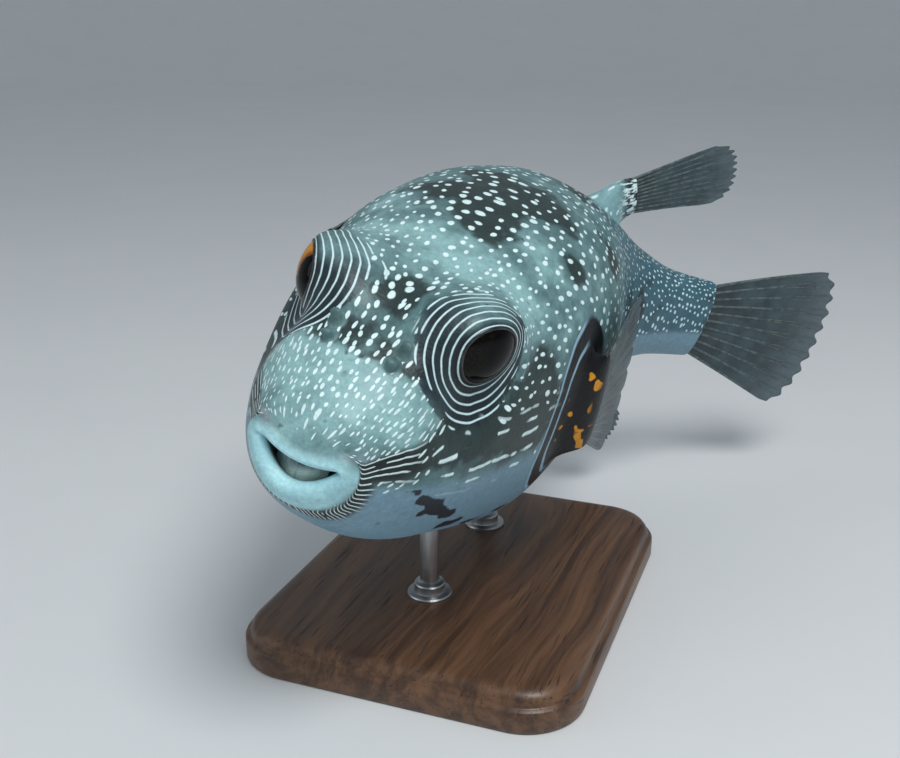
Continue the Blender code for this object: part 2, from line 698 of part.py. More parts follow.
def make_base(material, parts):
    width, length, height = BASE_SIZE
    mesh = bpy.data.meshes.new("stand_base")
    body = bmesh.new()
    bmesh.ops.create_cube(body, size=1.0)
    bmesh.ops.scale(body, vec=BASE_SIZE, verts=body.verts)
    upright = [e for e in body.edges if abs(e.verts[0].co.z - e.verts[1].co.z) > height / 2]
    bmesh.ops.bevel(body, geom=upright, offset=BASE_CORNER, segments=6, affect="EDGES", profile=0.5)
    rim = [e for e in body.edges if min(v.co.z for v in e.verts) > height / 2 - 1e-6]
    bmesh.ops.bevel(body, geom=rim, offset=BASE_EDGE, segments=2, affect="EDGES", profile=0.5)
    body.to_mesh(mesh)
    body.free()
    mesh.materials.append(material)
    obj = bpy.data.objects.new("stand_base", mesh)
    parts.objects.link(obj)
    obj.location = (0.0, 0.0, height / 2)


def make_rods(clearance, material, parts):
    top = NOSE_PLACE[2]
    foot = BASE_SIZE[2] + GAP
    for name, place in zip(("stand_rod_front", "stand_rod_rear"), ROD_PLACES):
        mesh = bpy.data.meshes.new(name)
        body = bmesh.new()
        bmesh.ops.create_cone(body, cap_ends=True, segments=20, radius1=ROD_RADIUS, radius2=ROD_RADIUS,
                              depth=top - foot)
        body.to_mesh(mesh)
        body.free()
        mesh.shade_smooth()
        mesh.set_sharp_from_angle(angle=math.radians(40))
        mesh.materials.append(material)
        obj = bpy.data.objects.new(name, mesh)
        parts.objects.link(obj)
        obj.location = (ROD_OFFSET, place, (top + foot) / 2)
        boolean(obj, clearance)


def main():
    clear_scene()
    parts = new_collection("pufferfish")
    cutters = new_collection("cutters")
    pose = bpy.data.objects.new("fish_pose", None)
    parts.objects.link(pose)
    pose.location = NOSE_PLACE
    pose.rotation_euler = (0.0, BANK, 0.0)

    flesh = finish("spotted_skin", FLESH_GREY, 0.45)
    pale = finish("lip_skin", FLESH_PALE, 0.40)
    dark = finish("fin_base_skin", FLESH_DARK, 0.45)
    fin = finish("fin_membrane", FIN_OLIVE, 0.35)
    tooth = finish("beak_enamel", TOOTH_WHITE, 0.25)
    eye = finish("eye_gloss", EYE_BLACK, 0.08)
    oak = finish("dark_oak", OAK_BROWN, 0.45)
    steel = finish("brushed_steel", STEEL_GREY, 0.30, 1.0)

    clearance = make_clearance(cutters, pose)
    head = make_head(flesh, parts, pose)
    make_lips(pale, parts, pose)
    make_beak(make_mouth_space(cutters, pose), tooth, parts, pose)
    make_trunk(flesh, parts, pose)
    make_tail(flesh, parts, pose)
    make_eyes(head, eye, parts, cutters, pose)
    make_nostrils(clearance, dark, parts, cutters, pose)
    make_pectorals(clearance, dark, fin, parts, pose)
    make_median_fin("dorsal", DORSAL_ROOT, DORSAL_FOOT, DORSAL_HALF_ROOT, DORSAL_HALF_FOOT, DORSAL_LEAN,
                    DORSAL_LENGTH, clearance, flesh, fin, parts, pose)
    make_median_fin("anal", ANAL_ROOT, ANAL_FOOT, ANAL_HALF_ROOT, ANAL_HALF_FOOT, ANAL_LEAN,
                    ANAL_LENGTH, clearance, flesh, fin, parts, pose)
    make_caudal(fin, parts, pose)
    make_base(oak, parts)
    make_rods(clearance, steel, parts)


main()
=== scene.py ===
"""White-spotted pufferfish: the finished surfaces of the still, life-size model on its display stand.

The fish is shaped in its own frame, with the tip of the snout at the origin, the tail towards +Y, its
left side towards +X and its back up, and is then banked and lifted onto its rods. Units are metres.
"""

import math

import bpy
import numpy as np
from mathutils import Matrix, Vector


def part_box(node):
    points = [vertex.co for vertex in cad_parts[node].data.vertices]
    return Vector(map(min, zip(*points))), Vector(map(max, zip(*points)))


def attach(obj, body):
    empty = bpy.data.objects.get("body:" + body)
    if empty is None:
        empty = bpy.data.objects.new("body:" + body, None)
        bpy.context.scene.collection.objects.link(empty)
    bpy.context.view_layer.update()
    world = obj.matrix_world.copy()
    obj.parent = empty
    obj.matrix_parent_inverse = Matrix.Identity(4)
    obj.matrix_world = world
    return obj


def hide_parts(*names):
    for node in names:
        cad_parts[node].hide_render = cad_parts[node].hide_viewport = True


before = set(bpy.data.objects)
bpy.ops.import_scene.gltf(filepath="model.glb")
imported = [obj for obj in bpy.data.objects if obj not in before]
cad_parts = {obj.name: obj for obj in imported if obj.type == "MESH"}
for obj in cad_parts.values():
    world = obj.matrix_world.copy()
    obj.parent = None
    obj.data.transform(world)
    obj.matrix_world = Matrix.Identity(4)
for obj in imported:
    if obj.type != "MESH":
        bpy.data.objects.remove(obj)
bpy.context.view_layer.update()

MM = 0.001

# Pose
BANK = math.radians(19.4)
TAIL_CURL = math.radians(45.8)
CURL_START = 0.109
CURL_LENGTH = 0.100
NOSE_PLACE = np.array([-0.002, -0.106, 0.090])

# Body: distance from the snout, height of the back and depth of the belly from the spine, half width
BODY_SECTIONS = (
    (0.004, 0.0111, 0.0128, 0.0137),
    (0.010, 0.0158, 0.0182, 0.0172),
    (0.020, 0.0234, 0.0265, 0.0234),
    (0.035, 0.0320, 0.0349, 0.0299),
    (0.050, 0.0380, 0.0406, 0.0346),
    (0.070, 0.0438, 0.0484, 0.0396),
    (0.090, 0.0475, 0.0544, 0.0434),
    (0.115, 0.0485, 0.0550, 0.0442),
    (0.140, 0.0472, 0.0525, 0.0410),
    (0.160, 0.0428, 0.0451, 0.0342),
    (0.180, 0.0350, 0.0337, 0.0249),
    (0.200, 0.0250, 0.0215, 0.0155),
    (0.220, 0.0185, 0.0155, 0.0092),
    (0.240, 0.0168, 0.0145, 0.0052),
)
SQUARENESS = 2.35
TAIL_END = 0.238

# Mouth
MOUTH_HALF_WIDTH = 0.0094
MOUTH_CORNER_HEIGHT = 0.0013
UPPER_LIP_DROP = 0.0015
LOWER_LIP_DROP = 0.0058
CORNER_OPENING = 0.00025
UPPER_LIP_THICKNESS = 0.0036
LOWER_LIP_THICKNESS = 0.0062
CORNER_LIP_THICKNESS = 0.0041
POCKET_DEPTH = 0.0130
CORNER_TURN = 0.50                      # how far from its corner, round the mouth, the lips begin to turn
CORNER_FOLLOW = 0.65

# Eyes: an opening that faces out and forwards, and a ball behind it that is flattened along its axis
EYE_OPENING = np.array([0.0246, 0.0367, 0.0284])
EYE_AXIS = np.array([0.860, -0.500, 0.100]) / np.linalg.norm([0.860, -0.500, 0.100])
OPENING_RADIUS = 0.0080
EYE_RADIUS = 0.0095
EYE_HALF_DEPTH = 0.0062
MOUND_RADII = (0.0110, 0.0150, 0.0107)  # of the flesh round the ball: along the axis, along the body, up
MOUND_PLACE = (-0.0057, 0.0015, 0.0)    # its middle from the middle of the ball, in the same directions
MOUND_BLEND = 0.0090
MOUND_STATIONS = (0.012, 0.075)         # the part of the body that the mounds reach
MOUND_REACH = 0.015                     # further than any mound stands out from the plain body
MOUND_ROUNDS = 70                       # of closing in on a mound from outside, and how much each closes
MOUND_CLOSING = 0.8
LID_COVER = 0.00025                     # thickness of the lid over the ball
LID_BLEND = 0.0030
LID_MIDDLE = (0.0000, -0.0004)          # of the lid's edge: back and up from the axis
LID_SIDE_RADIUS = 0.0080
LID_TOP_RADIUS = 0.0068
LID_LOW_RADIUS = 0.0085
LID_DEPTH = 0.0022
LID_RISE = 0.45                         # slope at which the skin may rise from the lid's edge
LID_SOFTNESS = 0.0010
LID_TURN = 0.0005
LID_FADE = (0.0077, 0.0013)             # where the skin is back to its own shape, from the lid's edge
LID_REACH = 0.018                       # no part of the lid's edge is further from the ball's middle
RING_REACH = 0.034                      # no ring is further from it than this
POLE_DEPTH = 0.012                      # behind the ball, where the lid's edge is measured from
LID_RIM_RAISE = 0.00010                 # of the soft rim along the lid's edge, and its half width and height
LID_RIM_WIDTH = 0.00045
LID_RIM_HEIGHT = 0.00030
LID_STEPS = 160
LID_SIDES = 12
BALL_SIDES = 96
BALL_TILTS = 60
# Where each pupil has turned to, back and up from its ball's axis in mm: the fish looks to its left
GAZE = {1: (3.2, 0.5), -1: (-8.0, 0.5)}

RING_STRETCH = 2.2

# Nostrils: a pair of small fleshy lobes on each side
NOSTRIL_STATION = 0.0215
NOSTRIL_ANGLE = 0.30
NOSTRIL_SPREAD = 0.0017
NOSTRIL_FOOT = (0.0020, 0.085)
NOSTRIL_HEIGHT = 0.0032
NOSTRIL_LEAN = 0.42

# Fins, with the fleshy bases that carry them
PECTORAL_STATION = 0.0880
PECTORAL_ANGLE = 1.50
PECTORAL_TILT = 0.13
PECTORAL_HALF_BASE = 0.0160
PECTORAL_RISE = 0.0042
PECTORAL_REACH = 0.0055                 # of the base, from its knee to the root of the fin
PECTORAL_FOOT_LENGTH = 0.0070
PECTORAL_LENGTH = 0.034
PECTORAL_TOE_IN = {1: 5.0, -1: 13.0}
PECTORAL_SPREAD = {1: (-28.0, 34.0), -1: (-34.0, 18.0)}
DORSAL_ROOT = (0.188, 0.0435)
DORSAL_HALF_ROOT = 0.0068
DORSAL_HALF_FOOT = 0.0125
DORSAL_FOOT = (0.1785, 0.0, 0.0115, 0.20)        # station, angle, half length, half turn
DORSAL_LEAN = math.radians(23)
DORSAL_LENGTH = 0.043
ANAL_ROOT = (0.192, -0.0360)
ANAL_HALF_ROOT = 0.0064
ANAL_HALF_FOOT = 0.0115
ANAL_FOOT = (0.1835, math.pi, 0.0105, 0.22)
ANAL_LEAN = math.radians(-30)
ANAL_LENGTH = 0.036
MEDIAN_SPREAD = 8.0
CAUDAL_LENGTH = 0.060
CAUDAL_SETBACK = 0.0018                 # of the fin's root, behind the end of the tail
CAUDAL_SPREAD = 19.0
LOBE_WALL = 0.74                        # share of a lobe's foot that becomes its wall, not its rounded end
LOBE_FLARE = 0.34

up = np.array([0.0, 0.0, 1.0])


# ---- curves ------------------------------------------------------------------------------------------

def smooth_curve(knots, values, at):
    """Cubic curve through the values that never overshoots them (monotone Hermite)."""
    knots, values, at = (np.asarray(a, float) for a in (knots, values, at))
    steps = np.diff(knots)
    slopes = np.diff(values) / steps
    tangents = np.concatenate([slopes[:1], np.zeros(len(knots) - 2), slopes[-1:]])
    for i in range(1, len(knots) - 1):
        before, after = slopes[i - 1], slopes[i]
        if before * after > 0:
            near = 2 * steps[i] + steps[i - 1]
            far = steps[i] + 2 * steps[i - 1]
            tangents[i] = (near + far) / (near / before + far / after)
    i = np.clip(np.searchsorted(knots, at) - 1, 0, len(steps) - 1)
    t = (at - knots[i]) / steps[i]
    rise = values[i] * (1 + 2 * t) * (1 - t) ** 2 + values[i + 1] * t ** 2 * (3 - 2 * t)
    return rise + steps[i] * (tangents[i] * t * (1 - t) ** 2 - tangents[i + 1] * t ** 2 * (1 - t))


def smoothstep(low, high, value):
    t = np.clip((value - low) / (high - low), 0.0, 1.0)
    return t * t * (3 - 2 * t)


def smooth_min(a, b, blend):
    overlap = np.maximum(blend - np.abs(a - b), 0.0) / blend
    return np.minimum(a, b) - overlap ** 2 * blend / 4


def circle_turns(count, start=0.0):
    """Angles evenly round a circle, from the given share of a step on."""
    return (np.arange(count) + start) * 2 * math.pi / count


def unit(vector):
    return vector / np.linalg.norm(vector, axis=-1, keepdims=True)


def signed_power(value, power):
    return np.sign(value) * np.abs(value) ** power


# ---- body --------------------------------------------------------------------------------------------

SPINE_PACE = 0.0001
SPINE_STATIONS = np.arange(0.0, 0.26, SPINE_PACE)
SPINE_TURNS = TAIL_CURL * smoothstep(0.0, 1.0, (SPINE_STATIONS - CURL_START) / CURL_LENGTH)
MIDDLE_TURNS = (SPINE_TURNS[1:] + SPINE_TURNS[:-1]) / 2
SPINE_X = np.concatenate([[0.0], np.cumsum(np.sin(MIDDLE_TURNS)) * SPINE_PACE])
SPINE_Y = np.concatenate([[0.0], np.cumsum(np.cos(MIDDLE_TURNS)) * SPINE_PACE])


def spine(station):
    """Points of the spine, its directions back along the body, and its directions to the left."""
    x = np.interp(station, SPINE_STATIONS, SPINE_X)
    y = np.interp(station, SPINE_STATIONS, SPINE_Y)
    turn = np.interp(station, SPINE_STATIONS, SPINE_TURNS)
    none = np.zeros_like(turn)
    point = np.stack([x, y, none], axis=-1)
    along = np.stack([np.sin(turn), np.cos(turn), none], axis=-1)
    left = np.stack([np.cos(turn), -np.sin(turn), none], axis=-1)
    return point, along, left


def body_size(station):
    knots, *columns = zip(*BODY_SECTIONS)
    return [smooth_curve(knots, column, station) for column in columns]


def plain_point(station, angle):
    """Body surface without the mounds of the eyes; the angle runs round from the middle of the back."""
    station, angle = np.broadcast_arrays(np.asarray(station, float), np.asarray(angle, float))
    back, belly, half_width = body_size(station)
    point, _, left = spine(station)
    across = half_width * signed_power(np.sin(angle), 2 / SQUARENESS)
    height = np.where(np.cos(angle) > 0, back, belly) * signed_power(np.cos(angle), 2 / SQUARENESS)
    return point + across[..., None] * left + height[..., None] * up


def eye_axes(side):
    """Axis of an eye's opening, and the directions back and up in the plane of the opening."""
    axis = EYE_AXIS * (side, 1, 1)
    rise = unit(up - (up @ axis) * axis)
    back = unit(np.cross(rise, axis)) * side
    return axis, back, rise


def eye_centre(side):
    setback = EYE_HALF_DEPTH * math.sqrt(1 - (OPENING_RADIUS / EYE_RADIUS) ** 2)
    return EYE_OPENING * (side, 1, 1) - setback * eye_axes(side)[0]


def in_eye(points, side):
    """Points measured from the middle of an eyeball: out along its axis, back and up."""
    return (points - eye_centre(side)) @ np.stack(eye_axes(side), axis=1)


def ellipsoid_distance(points, radii):
    scaled = np.linalg.norm(points / radii, axis=-1)
    steep = np.linalg.norm(points / np.square(radii), axis=-1)
    return scaled * (scaled - 1) / np.maximum(steep, 1e-9)


def mound_distance(points, side):
    """Distance to the flesh round an eyeball: a broad mound and the lid over the ball."""
    placed = in_eye(points, side)
    mound = ellipsoid_distance(placed - MOUND_PLACE, np.array(MOUND_RADII))
    cover = np.array([EYE_HALF_DEPTH, EYE_RADIUS, EYE_RADIUS]) + LID_COVER
    return smooth_min(mound, ellipsoid_distance(placed, cover), LID_BLEND)


def skin_point(station, angle):
    """Body surface with the mounds of the eyes grown smoothly out of it."""
    plain = plain_point(station, angle)
    near = (station > MOUND_STATIONS[0]) & (station < MOUND_STATIONS[1])
    start, _, _ = spine(station)
    ray = plain - start
    reach = np.linalg.norm(ray, axis=-1)
    ray = ray / reach[..., None]
    grown = reach[near] + MOUND_REACH
    for _ in range(MOUND_ROUNDS):
        at = start[near] + grown[:, None] * ray[near]
        mounds = np.minimum(mound_distance(at, 1), mound_distance(at, -1))
        grown = grown - MOUND_CLOSING * smooth_min(grown - reach[near], mounds, MOUND_BLEND)
    plain[near] = start[near] + grown[:, None] * ray[near]
    return plain


# ---- mouth -------------------------------------------------------------------------------------------

def lip_heading(angles):
    """Direction in which the lips thicken, turned from up towards the side: square to the mouth's edge."""
    upper = -np.arctan(2 * UPPER_LIP_DROP * np.sin(angles) / MOUTH_HALF_WIDTH)
    lower = -np.arctan(2 * LOWER_LIP_DROP * np.sin(angles) / MOUTH_HALF_WIDTH)
    folded = np.abs((angles + math.pi) % (2 * math.pi) - math.pi)
    side = np.where(np.sin(angles) < 0, -1.0, 1.0)
    share = smoothstep(math.pi / 2 - CORNER_TURN, math.pi / 2 + CORNER_TURN, folded)
    square = (1 - share) * np.abs(upper) * -1 + share * (math.pi - np.abs(lower))
    return side * ((1 - CORNER_FOLLOW) * folded + CORNER_FOLLOW * square)


def mouth_ring(angles, outward, depth):
    """Ring round the mouth: `outward` lip thicknesses from its edge, and so many thicknesses, or a plain
    distance if it is given as (0, distance), behind the edge."""
    cosine, sine = np.cos(angles), np.sin(angles)
    opening = cosine ** 2
    drop = np.where(cosine > 0, UPPER_LIP_DROP, LOWER_LIP_DROP) * opening
    middle = np.where(cosine > 0, UPPER_LIP_THICKNESS, LOWER_LIP_THICKNESS)
    thickness = CORNER_LIP_THICKNESS + (middle - CORNER_LIP_THICKNESS) * opening
    parting = CORNER_OPENING * signed_power(cosine, 0.5) * max(0.0, 1 - outward / 0.3)
    heading = lip_heading(angles)
    across = MOUTH_HALF_WIDTH * sine + outward * thickness * np.sin(heading)
    height = MOUTH_CORNER_HEIGHT - drop + parting + outward * thickness * np.cos(heading)
    behind = 0.0018 - 0.0014 * opening + depth[0] * thickness + depth[1]
    return np.stack([across, behind, height], axis=-1)


def pocket_ring(angles, depth, half_width, half_height):
    """Oval ring inside the mouth."""
    middle = MOUTH_CORNER_HEIGHT - 0.5 * LOWER_LIP_DROP
    ring = [half_width * np.sin(angles), depth + 0 * angles, middle + half_height * np.cos(angles)]
    return np.stack(ring, axis=-1)


def rows_through(rings, counts):
    """Rows of points that run smoothly through the given rings, with a count of rows for each step."""
    rings = np.asarray(rings)
    gaps = np.linalg.norm(np.diff(rings, axis=0), axis=2).mean(axis=1)
    knots = np.concatenate([[0.0], np.cumsum(gaps)])
    tangents = np.empty_like(rings)
    slopes = np.diff(rings, axis=0) / gaps[:, None, None]
    share = (gaps[:-1] / (gaps[:-1] + gaps[1:]))[:, None, None]
    tangents[1:-1] = slopes[:-1] * (1 - share) + slopes[1:] * share
    tangents[0], tangents[-1] = slopes[0], slopes[-1]
    rows = []
    for i, count in enumerate(counts):
        for t in np.arange(count) / count:
            h = knots[i + 1] - knots[i]
            a = (1 + 2 * t) * (1 - t) ** 2 * rings[i] + t * (1 - t) ** 2 * h * tangents[i]
            b = t * t * (3 - 2 * t) * rings[i + 1] - t * t * (1 - t) * h * tangents[i + 1]
            rows.append(a + b)
    rows.append(rings[-1])
    return np.array(rows)


# ---- openings of the eyes ----------------------------------------------------------------------------

def edge_points(edge):
    """Which points of a grid lie nearest to the line where `edge` is zero."""
    found = np.zeros(edge.shape, bool)
    for axis in (0, 1):
        after = np.roll(edge, -1, axis=axis)
        crossing = edge * after < 0
        if axis == 0:
            crossing[-1] = False
        nearer = np.abs(edge) < np.abs(after)
        found |= crossing & nearer
        found |= np.roll(crossing & ~nearer, 1, axis=axis)
    return found


def lid_edge(placed):
    """Distance from the lid's edge, below zero inside the opening, and the edge's point on the same heading.

    Measured by the turn from the eye's axis, as seen from a point well behind the ball.
    """
    x, y, z = np.moveaxis(placed, -1, 0)
    out = np.hypot(y, z)
    cosine, sine = y / out, z / out
    reach = np.where(sine > 0, LID_TOP_RADIUS, LID_LOW_RADIUS)
    a = (cosine / LID_SIDE_RADIUS) ** 2 + (sine / reach) ** 2
    b = -2 * LID_MIDDLE[1] * sine / reach ** 2
    c = (LID_MIDDLE[1] / reach) ** 2 - 1
    lid = (np.sqrt(b * b - 4 * a * c) - b) / (2 * a)
    ahead = EYE_HALF_DEPTH * np.sqrt(1 - (lid / EYE_RADIUS) ** 2)
    turn = np.arctan2(out, x + POLE_DEPTH) - np.arctan2(lid, ahead + POLE_DEPTH)
    return turn * np.hypot(lid, ahead + POLE_DEPTH), np.stack([ahead, cosine * lid, sine * lid], axis=-1)


def open_eyes(points, stations):
    """Brings the skin down to the ball round each opening, and turns it in behind the ball inside it."""
    rows = np.nonzero((stations > MOUND_STATIONS[0]) & (stations < MOUND_STATIONS[1]))[0]
    near = slice(rows[0], rows[-1] + 1)
    ball = np.array([EYE_HALF_DEPTH, EYE_RADIUS, EYE_RADIUS])
    for side in (1, -1):
        placed = in_eye(points[near], side)
        edge, nearest = lid_edge(placed)
        on_edge = edge_points(np.where(np.linalg.norm(placed, axis=-1) < LID_REACH, edge, 1.0))
        edge = np.where(on_edge, 0.0, edge)
        placed = np.where(on_edge[..., None], nearest, placed)
        gap = ellipsoid_distance(placed, ball)
        outside = smooth_min(gap, LID_COVER + LID_RISE * np.maximum(edge, 0.0), LID_SOFTNESS)
        wanted = np.where(edge < 0, LID_COVER - LID_DEPTH * smoothstep(0.0, -LID_TURN, edge), outside)
        wanted = np.where(on_edge, LID_COVER, wanted)
        wanted = gap + (wanted - gap) * smoothstep(*LID_FADE, edge)
        ray = unit(placed + (POLE_DEPTH, 0.0, 0.0))
        for _ in range(3):
            placed = placed + (wanted - ellipsoid_distance(placed, ball))[..., None] * ray
        points[near] = placed @ np.stack(eye_axes(side), axis=0) + eye_centre(side)
    return points


# ---- fleshy lobes -------------------------------------------------------------------------------------

def skin_frame(station, angle):
    """Point of the skin, its outward normal, and the direction back along it."""
    step, turn = 0.0005, 0.01
    places = skin_point(np.array([station, station + step, station]), np.array([angle, angle, angle + turn]))
    point, back, around = places[0], places[1] - places[0], places[2] - places[0]
    normal = unit(np.cross(back, around))
    if normal @ (point - spine(station)[0]) < 0:
        normal = -normal
    return point, normal, unit(back)


def wrapped(angle):
    return (angle + math.pi) % (2 * math.pi) - math.pi


def lobe_share(stations, angles, foot):
    """How far each point lies out from the middle of a lobe's foot, 1 at its edge, and in what direction."""
    station, angle, half_length, half_turn = foot
    back = (stations - station) / half_length
    around = wrapped(angles - angle) / half_turn
    return np.hypot(back, around), np.arctan2(around, back)


def raise_lobe(points, stations, angles, foot, knee, root, dome):
    """Pulls the skin inside an oval foot out into a fleshy lobe.

    `knee` and `root` each give a middle, the half axis that the rear of the foot goes to, and the half axis
    that its side of growing angle goes to. The lobe ends in a dome on the root.
    """
    out, turn = lobe_share(stations, angles, foot)
    inside = out < 1
    cosine, sine = np.cos(turn[inside])[:, None], np.sin(turn[inside])[:, None]
    station, angle, half_length, half_turn = foot
    edge = skin_point(station + half_length * cosine[:, 0], angle + half_turn * sine[:, 0])
    middle = skin_point(np.array([station]), np.array([angle]))[0]
    knee_ring = knee[0] + cosine * knee[1] + sine * knee[2]
    root_ring = root[0] + cosine * root[1] + sine * root[2]
    rise = (1 - out[inside])[:, None]
    t = np.clip(rise / LOBE_WALL, 0, 1)
    leaving = edge + LOBE_FLARE * (middle - edge)
    wall = (1 - t) ** 3 * edge + 3 * t * (1 - t) ** 2 * leaving
    wall = wall + 3 * t * t * (1 - t) * knee_ring + t ** 3 * root_ring
    over = np.clip((rise - LOBE_WALL) / (1 - LOBE_WALL), 0, 1) * math.pi / 2
    cap = root[0] + (root_ring - root[0]) * np.cos(over) + dome * np.sin(over)
    points[inside] = np.where(rise < LOBE_WALL, wall, cap)


def pectoral_frame(side):
    """Path of a pectoral base, the direction its blade leaves in, and the axis of the blade's root."""
    point, normal, back = skin_frame(PECTORAL_STATION, side * PECTORAL_ANGLE)
    tall = unit(np.array([-side * PECTORAL_TILT, 0.0, 1.0]))
    toe_in = math.radians(PECTORAL_TOE_IN[side])
    trailing = math.cos(toe_in) * back - math.sin(toe_in) * normal
    knee = point + PECTORAL_RISE * normal
    end = knee + PECTORAL_REACH * trailing
    outward = unit(end - knee)
    return knee, end, outward, unit(tall - (tall @ outward) * outward), normal, back


def median_frame(root, lean):
    """End of a dorsal or anal base, the direction its blade leaves in, and the axis of the blade's root."""
    centre, along, left = spine(root[0])
    end = centre + root[1] * up
    outward = math.cos(lean) * along + math.sin(lean) * up
    tall = math.cos(lean) * up - math.sin(lean) * along
    return end, outward, tall, left


def raise_lobes(points, stations, angles):
    for side in (1, -1):
        for place in (-1, 1):
            foot = (NOSTRIL_STATION + place * NOSTRIL_SPREAD, side * NOSTRIL_ANGLE, *NOSTRIL_FOOT)
            point, normal, back = skin_frame(foot[0], foot[1])
            across = np.cross(back, normal) * (1 if np.cross(back, normal)[0] > 0 else -1)
            lean = unit(normal + NOSTRIL_LEAN * place * back)
            knee = (point + 0.45 * NOSTRIL_HEIGHT * lean, 0.0010 * back, 0.0013 * across)
            root = (point + 0.80 * NOSTRIL_HEIGHT * lean, 0.0009 * back, 0.0015 * across)
            raise_lobe(points, stations, angles, foot, knee, root, 0.0009 * lean)
        knee, end, outward, tall, normal, back = pectoral_frame(side)
        down = -side * tall
        half = PECTORAL_HALF_BASE
        half_turn = half * 1.06 / body_size(PECTORAL_STATION)[2]
        foot = (PECTORAL_STATION, side * PECTORAL_ANGLE, PECTORAL_FOOT_LENGTH, half_turn)
        raise_lobe(points, stations, angles, foot,
                   (knee, -0.0024 * normal + 0.0020 * back, 0.98 * half * down),
                   (end, -0.0013 * normal, 0.88 * half * down), 0.0006 * outward)
    for root, lean, foot, halves, sign in (
        (DORSAL_ROOT, DORSAL_LEAN, DORSAL_FOOT, (DORSAL_HALF_ROOT, DORSAL_HALF_FOOT), 1),
        (ANAL_ROOT, ANAL_LEAN, ANAL_FOOT, (ANAL_HALF_ROOT, ANAL_HALF_FOOT), -1),
    ):
        end, outward, tall, left = median_frame(root, lean)
        tall, left = tall * sign, left * sign
        middle = (halves[0] + halves[1]) / 2
        raise_lobe(points, stations, angles, foot,
                   (end - 0.0095 * outward, -0.92 * middle * tall, 0.0040 * left),
                   (end, -halves[0] * tall, 0.0016 * left), 0.0007 * outward)


# ---- skin grid ---------------------------------------------------------------------------------------

COLUMNS = 288
ROWS_OF_BODY = 296
FIRST_STATION = 0.0085                         # of the rows of the body, behind those round the mouth
HEAD_ROWS = (2, 5, 5, 4, 5, 5, 5, 5, 4)        # from ring to ring, from the back of the mouth to the snout
LIP_PLACES = (-4, -3, -2, -1, 0, 0.38, 0.80, 1.10, 2, 3)
LIP_STATIONS = (-0.020, -0.015, -0.010, -0.006, -0.0045, -0.0025, -0.0005, 0.0015, 0.0055, 0.0085)
TAIL_ROWS = 7
TAIL_ROUND = 0.0032


def bell(distance, width):
    return np.exp(-(distance / width) ** 2)


def spread(density, low, high, count, ends=True):
    """Values from low to high, closer together where the density is higher."""
    fine = np.linspace(low, high, 4001)
    weight = np.concatenate([[0.0], np.cumsum(density((fine[1:] + fine[:-1]) / 2))])
    shares = np.linspace(0, weight[-1], count) if ends else np.arange(count) * weight[-1] / count
    return np.interp(shares, weight, fine)


def column_density(angle):
    folded = np.abs(wrapped(angle))
    eyes = 1.5 * bell(folded - 0.78, 0.34)
    mouth_corners = 0.6 * bell(folded - math.pi / 2, 0.12)
    nostrils = 1.5 * bell(folded - NOSTRIL_ANGLE, 0.09)
    ridge = 0.9 * bell(folded, 0.16) + 0.9 * bell(folded - math.pi, 0.20)
    return 1.0 + eyes + mouth_corners + nostrils + ridge


def row_density(station):
    head = 0.9 * smoothstep(0.062, 0.052, station)
    eyes = 1.6 * bell(station - 0.032, 0.011)
    nostrils = 1.5 * bell(station - NOSTRIL_STATION, 0.0035)
    fins = 0.7 * bell(station - PECTORAL_STATION, 0.008)
    tail = 0.8 * bell(station - 0.182, 0.010)
    return 1.0 + head + eyes + nostrils + fins + tail


ANGLES = spread(column_density, 0.0, 2 * math.pi, COLUMNS, ends=False)
STATIONS = spread(row_density, FIRST_STATION, TAIL_END, ROWS_OF_BODY)


def skin_grid():
    """Points of the whole skin, row by row from the back of the mouth to the root of the tail fin.

    With each row come its station and its place over the lips: 0 at the mouth's edge, 1.1 behind the lip.
    """
    lip = [
        pocket_ring(ANGLES, POCKET_DEPTH, 0.0015, 0.0010),
        pocket_ring(ANGLES, 0.0110, 0.0060, 0.0040),
        pocket_ring(ANGLES, 0.0070, 0.0090, 0.0056),
        mouth_ring(ANGLES, 0.12, (0.0, 0.0022)),
        mouth_ring(ANGLES, 0.00, (0.0, 0.0006)),
        mouth_ring(ANGLES, 0.38, (-0.26, 0.0)),
        mouth_ring(ANGLES, 0.80, (-0.16, 0.0)),
        mouth_ring(ANGLES, 1.10, (0.16, 0.0)),
    ]
    front = [skin_point(np.full(COLUMNS, s), ANGLES) for s in (0.0055, FIRST_STATION)]
    head = rows_through([*lip, *front], HEAD_ROWS)[:-1]
    rings = np.concatenate([[0], np.cumsum(HEAD_ROWS)])
    head_stations = np.interp(np.arange(len(head)), rings, LIP_STATIONS)
    head_places = np.interp(np.arange(len(head)), rings, LIP_PLACES)

    grid_stations, grid_angles = np.meshgrid(STATIONS, ANGLES, indexing="ij")
    body = open_eyes(skin_point(grid_stations, grid_angles), STATIONS)
    raise_lobes(body, grid_stations, grid_angles)

    turns = np.arange(1, TAIL_ROWS + 1) / TAIL_ROWS * math.pi / 2 * 0.92
    last = body[-1]
    centre, along, left = spine(TAIL_END)
    across = (last - centre) @ left
    height = (last - centre) @ up
    tail = [centre + TAIL_ROUND * math.sin(t) * along + (across * math.cos(t))[:, None] * left
            + (height * (1 - 0.12 * (1 - math.cos(t))))[:, None] * up for t in turns]
    tail_stations = TAIL_END + TAIL_ROUND * np.sin(turns)

    points = np.concatenate([head, body, tail])
    stations = np.concatenate([head_stations, STATIONS, tail_stations])
    places = np.concatenate([head_places, 3 + (STATIONS - FIRST_STATION) / 0.004, np.full(TAIL_ROWS, 60.0)])
    return points, stations, places


# ---- markings ----------------------------------------------------------------------------------------

